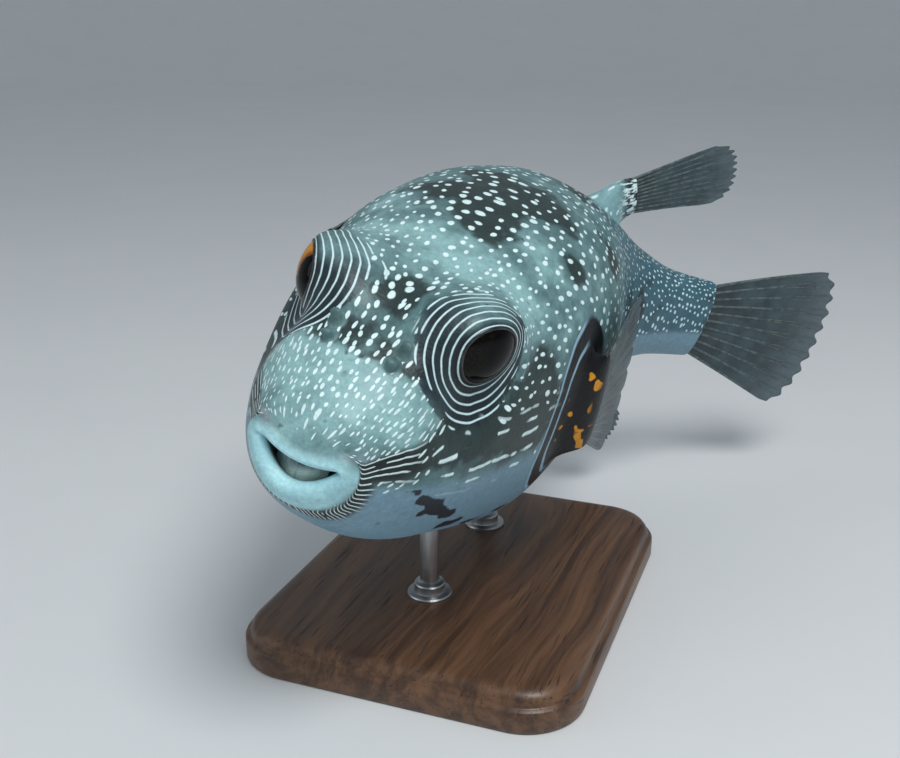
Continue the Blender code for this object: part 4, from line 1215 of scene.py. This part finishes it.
def make_fin_finish(grain):
    """Thin smoky membrane, darker towards its root and paler at its edge."""
    material, tree, shader = new_material("fin_membrane", coat_weight=0.15, coat_roughness=0.3)
    place = object_place(tree)
    across, out, _ = stored(tree, "fin")
    grained = use(tree, grain, Place=place, Scale=1200.0, Depth=0.5)
    cloudy = noise(tree, place, 130.0, 3.0, 0.6)
    colour = mix(tree, ease(tree, 0.30, 0.70, cloudy), tint(38, 56, 62), tint(64, 84, 90))
    colour = mix(tree, times(tree, ease(tree, 0.35, 0.0, out), 0.75), colour, BLUE_BLACK)
    colour = mix(tree, times(tree, ease(tree, 0.72, 1.0, out), 0.55), colour, tint(92, 114, 122))
    paint(tree, shader, shaded(tree, colour, grained["Shade"]), scaled(tree, cloudy, 0.2, 0.3))
    clear = scaled(tree, ease(tree, 0.35, 1.0, out), -0.22, 0.96)
    join(tree, scaled(tree, minus(tree, cloudy, 0.5), 0.12, clear), shader.inputs["Alpha"])
    fibres = noise(tree, vector_of(tree, times(tree, across, 60.0), times(tree, out, 5.0), 0.0), 1.0)
    bumped(tree, shader, plus(tree, fibres, grained["Height"]), 0.00012, 0.6)
    return material


def make_ray_finish(grain):
    """Smoky rays, a little paler than the membrane between them."""
    material, tree, shader = new_material("fin_rays", roughness=0.4, coat_weight=0.15, coat_roughness=0.3)
    place = object_place(tree)
    grained = use(tree, grain, Place=place, Scale=1600.0, Depth=0.6)
    cloudy = ease(tree, 0.35, 0.65, noise(tree, place, 420.0, 2.0))
    colour = mix(tree, cloudy, tint(60, 76, 78), tint(96, 110, 108))
    paint(tree, shader, shaded(tree, colour, grained["Shade"]))
    bumped(tree, shader, grained["Height"], 0.0001, 0.6)
    return material


def make_oak_finish():
    """Dark stained oak: long grain along the base, open pores and a satin wax."""
    material, tree, shader = new_material("dark_oak", coat_weight=0.2, coat_roughness=0.35)
    x, y, z = parts_of(tree, object_place(tree))
    sway = noise(tree, vector_of(tree, x, times(tree, y, 0.25), z), 26.0, 2.0)
    lengthways = vector_of(tree, scaled(tree, sway, 0.045, x), times(tree, y, 0.05), z)
    bands = noise(tree, lengthways, 210.0, 3.0, 0.65)
    pores = noise(tree, vector_of(tree, x, times(tree, y, 0.035), z), 1400.0, 2.0, 0.6)
    colour = mix(tree, ease(tree, 0.30, 0.70, bands), tint(66, 45, 32), tint(112, 80, 56))
    pitted = ease(tree, 0.60, 0.70, pores)
    colour = mix(tree, times(tree, pitted, 0.7), colour, tint(32, 21, 15))
    paint(tree, shader, colour, scaled(tree, pitted, 0.25, scaled(tree, bands, 0.15, 0.34)))
    bumped(tree, shader, scaled(tree, pitted, -0.8, bands), 0.00015, 0.7)
    return material


def make_steel_finish():
    """Brushed steel, drawn along the rod, with faint scuffs."""
    material, tree, shader = new_material("brushed_rod", metallic=1.0)
    place = object_place(tree)
    x, y, z = parts_of(tree, place)
    drawn = noise(tree, vector_of(tree, x, y, times(tree, z, 0.03)), 5200.0, 2.0, 0.6)
    scuffs = noise(tree, place, 160.0, 3.0, 0.6)
    colour = mix(tree, drawn, tint(150, 152, 155), tint(196, 197, 198))
    paint(tree, shader, colour, scaled(tree, scuffs, 0.2, scaled(tree, drawn, 0.15, 0.15)))
    bumped(tree, shader, drawn, 0.00005, 0.4)
    return material


# ---- skin --------------------------------------------------------------------------------------------

def make_skin(material):
    grid, stations, places = skin_grid()
    rows = len(grid)
    ends = np.array([grid[0].mean(axis=0), grid[-1].mean(axis=0)])
    points = np.concatenate([grid.reshape(-1, 3), ends])
    faces = tube_faces(rows, COLUMNS)
    turned = outward_faces(points, faces)
    skin = new_object("skin", to_world(points), turned, material)

    every_station = np.concatenate([np.repeat(stations, COLUMNS), stations[[0, -1]]])
    every_place = np.concatenate([np.repeat(places, COLUMNS), places[[0, -1]]])
    every_angle = np.concatenate([np.tile(ANGLES, rows), [0.0, 0.0]])
    for name, columns in markings(points, every_station, every_place, every_angle).items():
        add_attribute(skin.data, name, np.stack(np.broadcast_arrays(*columns), axis=1))

    # the spots' own map, whose seam runs along the middle of the belly
    along, around = spot_places(stations)
    corners = []
    edges = np.concatenate([ANGLES, [2 * math.pi]])
    for i in range(rows - 1):
        for j in range(COLUMNS):
            start, end = edges[j], edges[j + 1]
            shift = 2 * math.pi if (start + end) / 2 > math.pi else 0.0
            a, b = start - shift, end - shift
            corners += [(along[i], a * around[i], a), (along[i], b * around[i], b),
                        (along[i + 1], b * around[i + 1], b), (along[i + 1], a * around[i + 1], a)]
    corners = np.array(corners)
    corners[:, 1] /= 2 * math.pi
    if turned is not faces:
        corners = corners.reshape(-1, 4, 3)[:, ::-1].reshape(-1, 3)
    ends = np.zeros((6 * COLUMNS, 3))
    ends[:, 0] = along[-1]
    add_attribute(skin.data, "spots", np.concatenate([corners, ends]), "CORNER")
    return belongs(skin, "spotted_skin", "head", "trunk", "tail", "upper_lip", "lower_lip",
                   "nostril_left", "nostril_right", "pectoral_base_left", "pectoral_base_right",
                   "dorsal_fin_base", "anal_fin_base")


# ---- eyes --------------------------------------------------------------------------------------------

def make_eye(name, side, gloss, lid_skin):
    """Flattened eyeball with its poles on the axis, and the soft rim of the lid round it."""
    axis, back, rise = eye_axes(side)
    turns = circle_turns(BALL_SIDES)
    tilts = np.linspace(0, math.pi, BALL_TILTS)[1:-1]
    directions = np.stack([np.cos(turns), np.sin(turns)], axis=1) @ np.stack([back, rise])
    rings = [eye_centre(side) + EYE_RADIUS * math.sin(t) * directions + EYE_HALF_DEPTH * math.cos(t) * axis
             for t in tilts]
    poles = eye_centre(side) + np.array([EYE_HALF_DEPTH * axis, -EYE_HALF_DEPTH * axis])
    ball = tube(f"{name}_ball", to_world(np.array(rings)), gloss, to_world(poles))
    flat = in_eye(np.concatenate([np.array(rings).reshape(-1, 3), poles]), side) / MM
    back_of, above = flat[:, 1] - GAZE[side][0], flat[:, 2] - GAZE[side][1]
    add_attribute(ball.data, "iris", np.stack([back_of, above, flat[:, 0]], axis=1))
    belongs(ball, "eye_gloss", name)

    edge = lid_curve(LID_STEPS)
    outward = unit(edge / np.square([EYE_HALF_DEPTH, EYE_RADIUS, EYE_RADIUS]))
    along = unit(np.roll(edge, -1, axis=0) - np.roll(edge, 1, axis=0))
    across = np.cross(along, outward)
    turns = circle_turns(LID_SIDES)
    rim = edge[:, None] + LID_RIM_RAISE * outward[:, None]
    rim = rim + LID_RIM_WIDTH * np.cos(turns)[None, :, None] * across[:, None]
    rim = rim + LID_RIM_HEIGHT * np.sin(turns)[None, :, None] * outward[:, None]
    points = rim.reshape(-1, 3) @ np.stack(eye_axes(side)) + eye_centre(side)
    faces = [tuple((i % LID_STEPS) * LID_SIDES + j % LID_SIDES
                   for i, j in ((a, b), (a, b + 1), (a + 1, b + 1), (a + 1, b)))
             for a in range(LID_STEPS) for b in range(LID_SIDES)]
    lid = new_object(f"{name}_lid", to_world(points), outward_faces(points, faces), lid_skin)
    belongs(lid, "spotted_skin")


# ---- beak --------------------------------------------------------------------------------------------

TOOTH_HALF_WIDTH = 0.0066
TOOTH_SECTIONS = 97
# Section of a plate from its root, over its worn edge, and back: share of its thickness and of its height
TOOTH_SECTION = ((0.0, 0.0), (0.0, 0.35), (-0.06, 0.65), (0.02, 0.85), (0.22, 0.97),
                 (0.50, 1.0), (0.78, 0.96), (0.95, 0.82), (1.0, 0.5), (1.0, 0.0))


def make_tooth_plate(name, side, root, edge, enamel):
    """Curved plate of fused teeth with a seam at the midline and a worn, slightly wavy edge."""
    sections = []
    for t in np.linspace(-1, 1, TOOTH_SECTIONS):
        seam = math.exp(-(t / 0.035) ** 2)
        wear = 0.00012 * math.sin(17 * t + side) + 0.00008 * math.sin(41 * t)
        tip = edge + 0.0009 * t * t + side * (0.0004 * seam + wear)
        bow = 0.0025 + 0.0026 * t * t + 0.0003 * seam
        thick = 0.0013 * (1 - 0.35 * t * t) - 0.0004 * seam
        high = root - tip
        across = TOOTH_HALF_WIDTH * t
        sections.append([(across, bow + depth * thick, root - high * rise) for depth, rise in TOOTH_SECTION])
    belongs(tube(f"{name}_plate", to_world(np.array(sections)), enamel), "beak_enamel", name)


# ---- fins --------------------------------------------------------------------------------------------

FIN_COLUMNS = 8                          # across the membrane between two rays
FIN_ROWS = 28
FIN_OVERLAP = 0.0008                     # how far a fin reaches into its base
MEMBRANE_ROOT = 0.00060
MEMBRANE_EDGE = 0.00022
RAY_ROOT = 0.00050
CAUDAL_RAY_ROOT = 0.00070
RAY_TIP = 0.00012
RAY_SIDES = 8
RAY_POINTS = 22
RAY_REACH = 0.985                        # share of the membrane that the rays cross
FORK_START = 0.36                        # share of a ray's length where it forks
FORK_SPLAY = 0.20                        # share of the way to the next ray that a branch ends at


def rounded_reach(length, shortest, peak, roundness):
    """Ray length over the fan from t = -1 to 1: longest at `peak`, falling away to both sides."""
    def reach(t):
        share = np.abs(t - peak) / (1 + peak * np.where(t > peak, -1, 1))
        return length * (shortest + (1 - shortest) * (1 - share ** roundness) ** (1 / roundness))
    return reach


def fin_surface(root, root_axis, outward, bulge, half_root, spread, reach, rays):
    """Point of a fin's middle surface at t across the fan, -1 to 1, and w out from its root, 0 to 1."""
    low, high = np.radians(spread)
    side_way = np.cross(outward, root_axis)

    def at(t, w):
        t, w = np.broadcast_arrays(np.asarray(t, float), np.asarray(w, float))
        turn = low + (high - low) * (t + 1) / 2
        direction = np.cos(turn)[..., None] * outward + np.sin(turn)[..., None] * root_axis
        phase = (t + 1) / 2 * (rays - 1)
        between = np.sin(math.pi * phase) ** 2
        long = reach(t) * (1 - 0.045 * between * w ** 3)
        sway = 0.0006 * w ** 2 * np.sin(2.3 * t + 3.1 * w)
        hollow = 0.00025 * between * w * (-1) ** np.floor(phase)
        start = root + (t * half_root)[..., None] * root_axis - FIN_OVERLAP * outward
        cup = bulge * w * w * reach(t) + sway + hollow
        return start + (w * long + FIN_OVERLAP * w)[..., None] * direction + cup[..., None] * side_way
    return at


def make_membrane(name, at, rays, material, slot, node):
    """Membrane of a fin: a thin closed sheet between and over its rays."""
    across = np.linspace(-1, 1, (rays - 1) * FIN_COLUMNS + 1)
    out = np.linspace(0, 1, FIN_ROWS)
    grid = at(across[None, :], out[:, None])
    rows, columns = grid.shape[:2]
    by_row = np.gradient(grid, axis=0)
    by_column = np.gradient(grid, axis=1)
    normal = unit(np.cross(by_row, by_column))
    thin = (MEMBRANE_ROOT + (MEMBRANE_EDGE - MEMBRANE_ROOT) * out)[:, None, None] / 2
    points = np.concatenate([(grid + thin * normal).reshape(-1, 3), (grid - thin * normal).reshape(-1, 3)])
    top = sheet_faces(rows, columns, closed=False)
    count = rows * columns
    faces = top + [tuple(count + i for i in reversed(face)) for face in top]
    border = [j for j in range(columns)] + [i * columns + columns - 1 for i in range(1, rows)]
    border += [(rows - 1) * columns + j for j in range(columns - 2, -1, -1)]
    border += [i * columns for i in range(rows - 2, 0, -1)]
    faces += [(b, a, a + count, b + count) for a, b in zip(border, border[1:] + border[:1])]
    fin = new_object(name, to_world(points), outward_faces(points, faces), material)
    places = np.stack(np.broadcast_arrays(across[None, :], out[:, None], 0.0), axis=-1).reshape(-1, 3)
    add_attribute(fin.data, "fin", np.concatenate([places, places]))
    return belongs(fin, slot, node)


def make_ray_tree():
    """Geometry Nodes: turns drawn lines into tapering round rays."""
    tree = bpy.data.node_groups.new("fin rays", "GeometryNodeTree")
    tree.interface.new_socket(name="Lines", in_out="INPUT", socket_type="NodeSocketGeometry")
    for label in ("Root Radius", "Tip Radius"):
        tree.interface.new_socket(name=label, in_out="INPUT", socket_type="NodeSocketFloat")
    tree.interface.new_socket(name="Sides", in_out="INPUT", socket_type="NodeSocketInt")
    tree.interface.new_socket(name="Finish", in_out="INPUT", socket_type="NodeSocketMaterial")
    tree.interface.new_socket(name="Rays", in_out="OUTPUT", socket_type="NodeSocketGeometry")
    given = tree.nodes.new("NodeGroupInput").outputs
    share = add(tree, "GeometryNodeInputNamedAttribute", {"Name": "share"}, data_type="FLOAT")
    taper = {"To Min": given["Root Radius"], "To Max": given["Tip Radius"]}
    taper["Value"] = share.outputs["Attribute"]
    radius = add(tree, "ShaderNodeMapRange", taper).outputs["Result"]
    curves = add(tree, "GeometryNodeMeshToCurve", {"Mesh": given["Lines"]}).outputs["Curve"]
    sized = add(tree, "GeometryNodeSetCurveRadius", {"Curve": curves, "Radius": radius}).outputs["Curve"]
    profile = add(tree, "GeometryNodeCurvePrimitiveCircle", {"Resolution": given["Sides"], "Radius": 1.0})
    tubes = add(tree, "GeometryNodeCurveToMesh",
                {"Curve": sized, "Profile Curve": profile.outputs["Curve"], "Fill Caps": True})
    if "Scale" in tubes.inputs:
        drawn_radius = add(tree, "GeometryNodeInputRadius").outputs["Radius"]
        join(tree, drawn_radius, tubes.inputs["Scale"])
    whole = add(tree, "GeometryNodeRealizeInstances", {"Geometry": tubes.outputs["Mesh"]})
    smooth = add(tree, "GeometryNodeSetShadeSmooth", {"Geometry": whole.outputs["Geometry"]})
    surface = {"Geometry": smooth.outputs["Geometry"], "Material": given["Finish"]}
    painted = add(tree, "GeometryNodeSetMaterial", surface)
    join(tree, painted.outputs["Geometry"], tree.nodes.new("NodeGroupOutput").inputs["Rays"])
    return tree


def make_rays(name, at, rays, root_radius, tree, material):
    """The rays of a fin, each forked in its outer part, from the tree of tapering tubes."""
    points, edges, shares = [], [], []
    for k in range(rays):
        t = -1 + 2 * k / (rays - 1)
        step = 2 / (rays - 1)
        for fork in (-1, 1):
            w = np.linspace(0.0 if fork < 0 else FORK_START, RAY_REACH, RAY_POINTS)
            splay = FORK_SPLAY * step * fork * smoothstep(FORK_START, 1.0, w)
            line = at(np.clip(t + splay, -1, 1), w)
            start = len(points)
            points += list(line)
            edges += [(start + i, start + i + 1) for i in range(len(line) - 1)]
            shares += list(w)
    mesh = bpy.data.meshes.new(f"{name}_lines")
    mesh.from_pydata([tuple(p) for p in to_world(np.array(points))], edges, [])
    layer = mesh.attributes.new("share", "FLOAT", "POINT")
    layer.data.foreach_set("value", np.array(shares, np.float32))
    drawn = bpy.data.objects.new(f"{name}_lines", mesh)
    bpy.context.scene.collection.objects.link(drawn)
    modifier = drawn.modifiers.new("rays", "NODES")
    modifier.node_group = tree
    values = {"Root Radius": root_radius, "Tip Radius": RAY_TIP, "Sides": RAY_SIDES, "Finish": material}
    for item in tree.interface.items_tree:
        if item.item_type == "SOCKET" and item.in_out == "INPUT" and item.name in values:
            modifier[item.identifier] = values[item.name]
    graph = bpy.context.evaluated_depsgraph_get()
    made = bpy.data.meshes.new_from_object(drawn.evaluated_get(graph))
    bpy.data.objects.remove(drawn)
    obj = bpy.data.objects.new(name, made)
    bpy.context.scene.collection.objects.link(obj)
    return belongs(obj, "fin_membrane")


def make_fins(membrane, ray_finish):
    tree = make_ray_tree()
    fins = []
    for word, side in (("left", 1), ("right", -1)):
        _, end, outward, tall, _, _ = pectoral_frame(side)
        half = PECTORAL_HALF_BASE * 0.88 * 0.94
        fins.append((f"pectoral_fin_{word}", (end, tall, outward, 0.04 * side, half, PECTORAL_SPREAD[side],
                     rounded_reach(PECTORAL_LENGTH, 0.60, 0.15, 2.2)), 17, RAY_ROOT))
    for word, root, lean, half, length in (
        ("dorsal_fin", DORSAL_ROOT, DORSAL_LEAN, DORSAL_HALF_ROOT, DORSAL_LENGTH),
        ("anal_fin", ANAL_ROOT, ANAL_LEAN, ANAL_HALF_ROOT, ANAL_LENGTH),
    ):
        end, outward, tall, _ = median_frame(root, lean)
        sign = 1 if root[1] > 0 else -1
        fins.append((word, (end, tall, outward, 0.04, half * 0.94, (-MEDIAN_SPREAD, MEDIAN_SPREAD),
                     rounded_reach(length, 0.66, 0.15 * sign, 2.4)), 11, RAY_ROOT))
    centre, along, _ = spine(TAIL_END)
    back, belly, _ = body_size(TAIL_END)
    root = centre + (back - belly) / 2 * up + CAUDAL_SETBACK * along
    half = (back + belly) / 2 * 0.86
    fins.append(("caudal_fin", (root, up, along, 0.10, half, (-CAUDAL_SPREAD, CAUDAL_SPREAD),
                 rounded_reach(CAUDAL_LENGTH - CAUDAL_SETBACK, 0.80, 0.0, 2.6)), 11, CAUDAL_RAY_ROOT))
    for name, shape, rays, radius in fins:
        at = fin_surface(*shape, rays)
        make_membrane(f"{name}_membrane", at, rays, membrane, "fin_membrane", name)
        make_rays(f"{name}_rays", at, rays, radius, tree, ray_finish)


# ---- stand -------------------------------------------------------------------------------------------

BASE_HALF = (0.0525, 0.0650)
BASE_CORNER = 0.018
BASE_SIDES = 96
# Moulded edge of the base: how far in from its outline, and how high
BASE_PROFILE = ((0.0012, 0.0), (0.0003, 0.0004), (0.0, 0.0012), (0.0, 0.0066), (0.0003, 0.0071),
                (0.0012, 0.0074), (0.0016, 0.0078), (0.0017, 0.0084), (0.0020, 0.0096), (0.0030, 0.0109),
                (0.0046, 0.0117), (0.0066, 0.0120), (0.0100, 0.0120))
# Rods: radius and height above the base, of the collar at each rod's foot
COLLAR_PROFILE = ((0.0070, 0.0), (0.0070, 0.0007), (0.0067, 0.0011), (0.0050, 0.0013), (0.0048, 0.0018),
                  (0.0048, 0.0038), (0.0045, 0.0042), (0.0034, 0.0044), (0.0030, 0.0047))
ROD_RADIUS = 0.003
ROD_SIDES = 48
ROD_SINK = 0.0020


def make_base(oak):
    turns = circle_turns(BASE_SIDES, 0.5)
    rings = []
    for inset, height in BASE_PROFILE:
        corner = BASE_CORNER - inset
        x = np.sign(np.cos(turns)) * (BASE_HALF[0] - BASE_CORNER) + corner * np.cos(turns)
        y = np.sign(np.sin(turns)) * (BASE_HALF[1] - BASE_CORNER) + corner * np.sin(turns)
        rings.append(np.stack([x, y, np.full(len(turns), height)], axis=1))
    base = tube("stand_plinth", np.array(rings), oak)
    base.data.set_sharp_from_angle(angle=math.radians(50))
    return belongs(base, "dark_oak", "stand_base")


def make_rod(name, steel):
    """Turned rod with a flanged collar at its foot, let a little way into the belly."""
    low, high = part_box(name)
    middle = (low + high) / 2
    foot, top = low.z - 0.0003, high.z + ROD_SINK
    profile = [(radius, foot + height) for radius, height in COLLAR_PROFILE]
    profile += [(ROD_RADIUS, z) for z in np.linspace(foot + 0.0060, top, 12)]
    turns = circle_turns(ROD_SIDES)
    rings = [[(middle.x + r * math.cos(t), middle.y + r * math.sin(t), z) for t in turns]
             for r, z in profile]
    rod = tube(f"{name}_turned", np.array(rings), steel)
    rod.data.set_sharp_from_angle(angle=math.radians(35))
    return belongs(rod, "brushed_rod", name)


# ---- studio ------------------------------------------------------------------------------------------

CAMERA_PLACE = Vector((0.1079, -0.2990, 0.1837))
CAMERA_TARGET = Vector((0.0129, -0.04875, 0.0930))
LENS = 43.24
LIGHT_AIM = (0.01, -0.03, 0.10)
# The floor sweeps up into a wall all round: distance out and height
FLAT_RADIUS, BEND_RADIUS = 2.6, 1.4
FLOOR_SWEEP = [(1.5, 0.0), (FLAT_RADIUS, 0.0)]
FLOOR_SWEEP += [(FLAT_RADIUS + BEND_RADIUS * math.sin(t), BEND_RADIUS * (1 - math.cos(t)))
                for t in np.linspace(0.1, math.pi / 2, 12)]
FLOOR_SWEEP += [(FLAT_RADIUS + BEND_RADIUS, 2.6)]
FLOOR_SIDES = 96


def make_camera():
    data = bpy.data.cameras.new("camera")
    data.lens = LENS
    data.clip_start = 0.01
    camera = bpy.data.objects.new("camera", data)
    camera.location = CAMERA_PLACE
    camera.rotation_euler = (CAMERA_TARGET - CAMERA_PLACE).to_track_quat("-Z", "Y").to_euler()
    bpy.context.scene.collection.objects.link(camera)
    bpy.context.scene.camera = camera


def make_light(name, place, size, power, colour):
    data = bpy.data.lights.new(name, "AREA")
    data.shape = "DISK"
    data.size = size
    data.energy = power
    data.color = colour
    light = bpy.data.objects.new(name, data)
    light.location = place
    light.rotation_euler = (Vector(LIGHT_AIM) - Vector(place)).to_track_quat("-Z", "Y").to_euler()
    bpy.context.scene.collection.objects.link(light)


def make_studio():
    scene = bpy.context.scene
    scene.view_settings.view_transform = "Standard"
    world = bpy.data.worlds.new("studio")
    world.use_nodes = True
    sky = world.node_tree.nodes["Background"]
    sky.inputs["Color"].default_value = (0.88, 0.94, 1.0, 1.0)
    sky.inputs["Strength"].default_value = 0.42
    scene.world = world
    make_light("key", (0.36, -0.36, 0.78), 0.36, 4.5, (1.0, 1.0, 1.0))
    make_light("fill", (-0.70, -0.45, 0.40), 0.5, 0.6, (0.9, 0.97, 1.0))
    material, tree, shader = new_material("floor_paint", roughness=0.8)
    mottle = noise(tree, object_place(tree), 9.0, 4.0, 0.6)
    paint(tree, shader, mix(tree, mottle, tint(222, 225, 227), tint(230, 233, 234)))
    points = [(0.0, 0.0, 0.0)]
    for radius, height in FLOOR_SWEEP:
        points += [(radius * math.cos(t), radius * math.sin(t), height) for t in circle_turns(FLOOR_SIDES)]
    faces = [(0, 1 + i, 1 + (i + 1) % FLOOR_SIDES) for i in range(FLOOR_SIDES)]
    for row in range(len(FLOOR_SWEEP) - 1):
        near, far = 1 + row * FLOOR_SIDES, 1 + (row + 1) * FLOOR_SIDES
        for i in range(FLOOR_SIDES):
            after = (i + 1) % FLOOR_SIDES
            faces.append((near + i, far + i, far + after, near + after))
    floor = new_object("floor", points, faces, material)


def main():
    make_camera()
    make_studio()
    grain = make_grain()
    make_skin(make_skin_finish(make_spots(), make_lines(), grain))
    gloss, lid_skin = make_eye_finish(), make_lid_finish(grain)
    for name, side in (("eye_left", 1), ("eye_right", -1)):
        make_eye(name, side, gloss, lid_skin)
    enamel = make_enamel_finish()
    make_tooth_plate("upper_beak", 1, 0.0045, -0.0005, enamel)
    make_tooth_plate("lower_beak", -1, -0.0080, -0.0014, enamel)
    make_fins(make_fin_finish(grain), make_ray_finish(grain))
    make_base(make_oak_finish())
    steel = make_steel_finish()
    make_rod("stand_rod_front", steel)
    make_rod("stand_rod_rear", steel)


main()
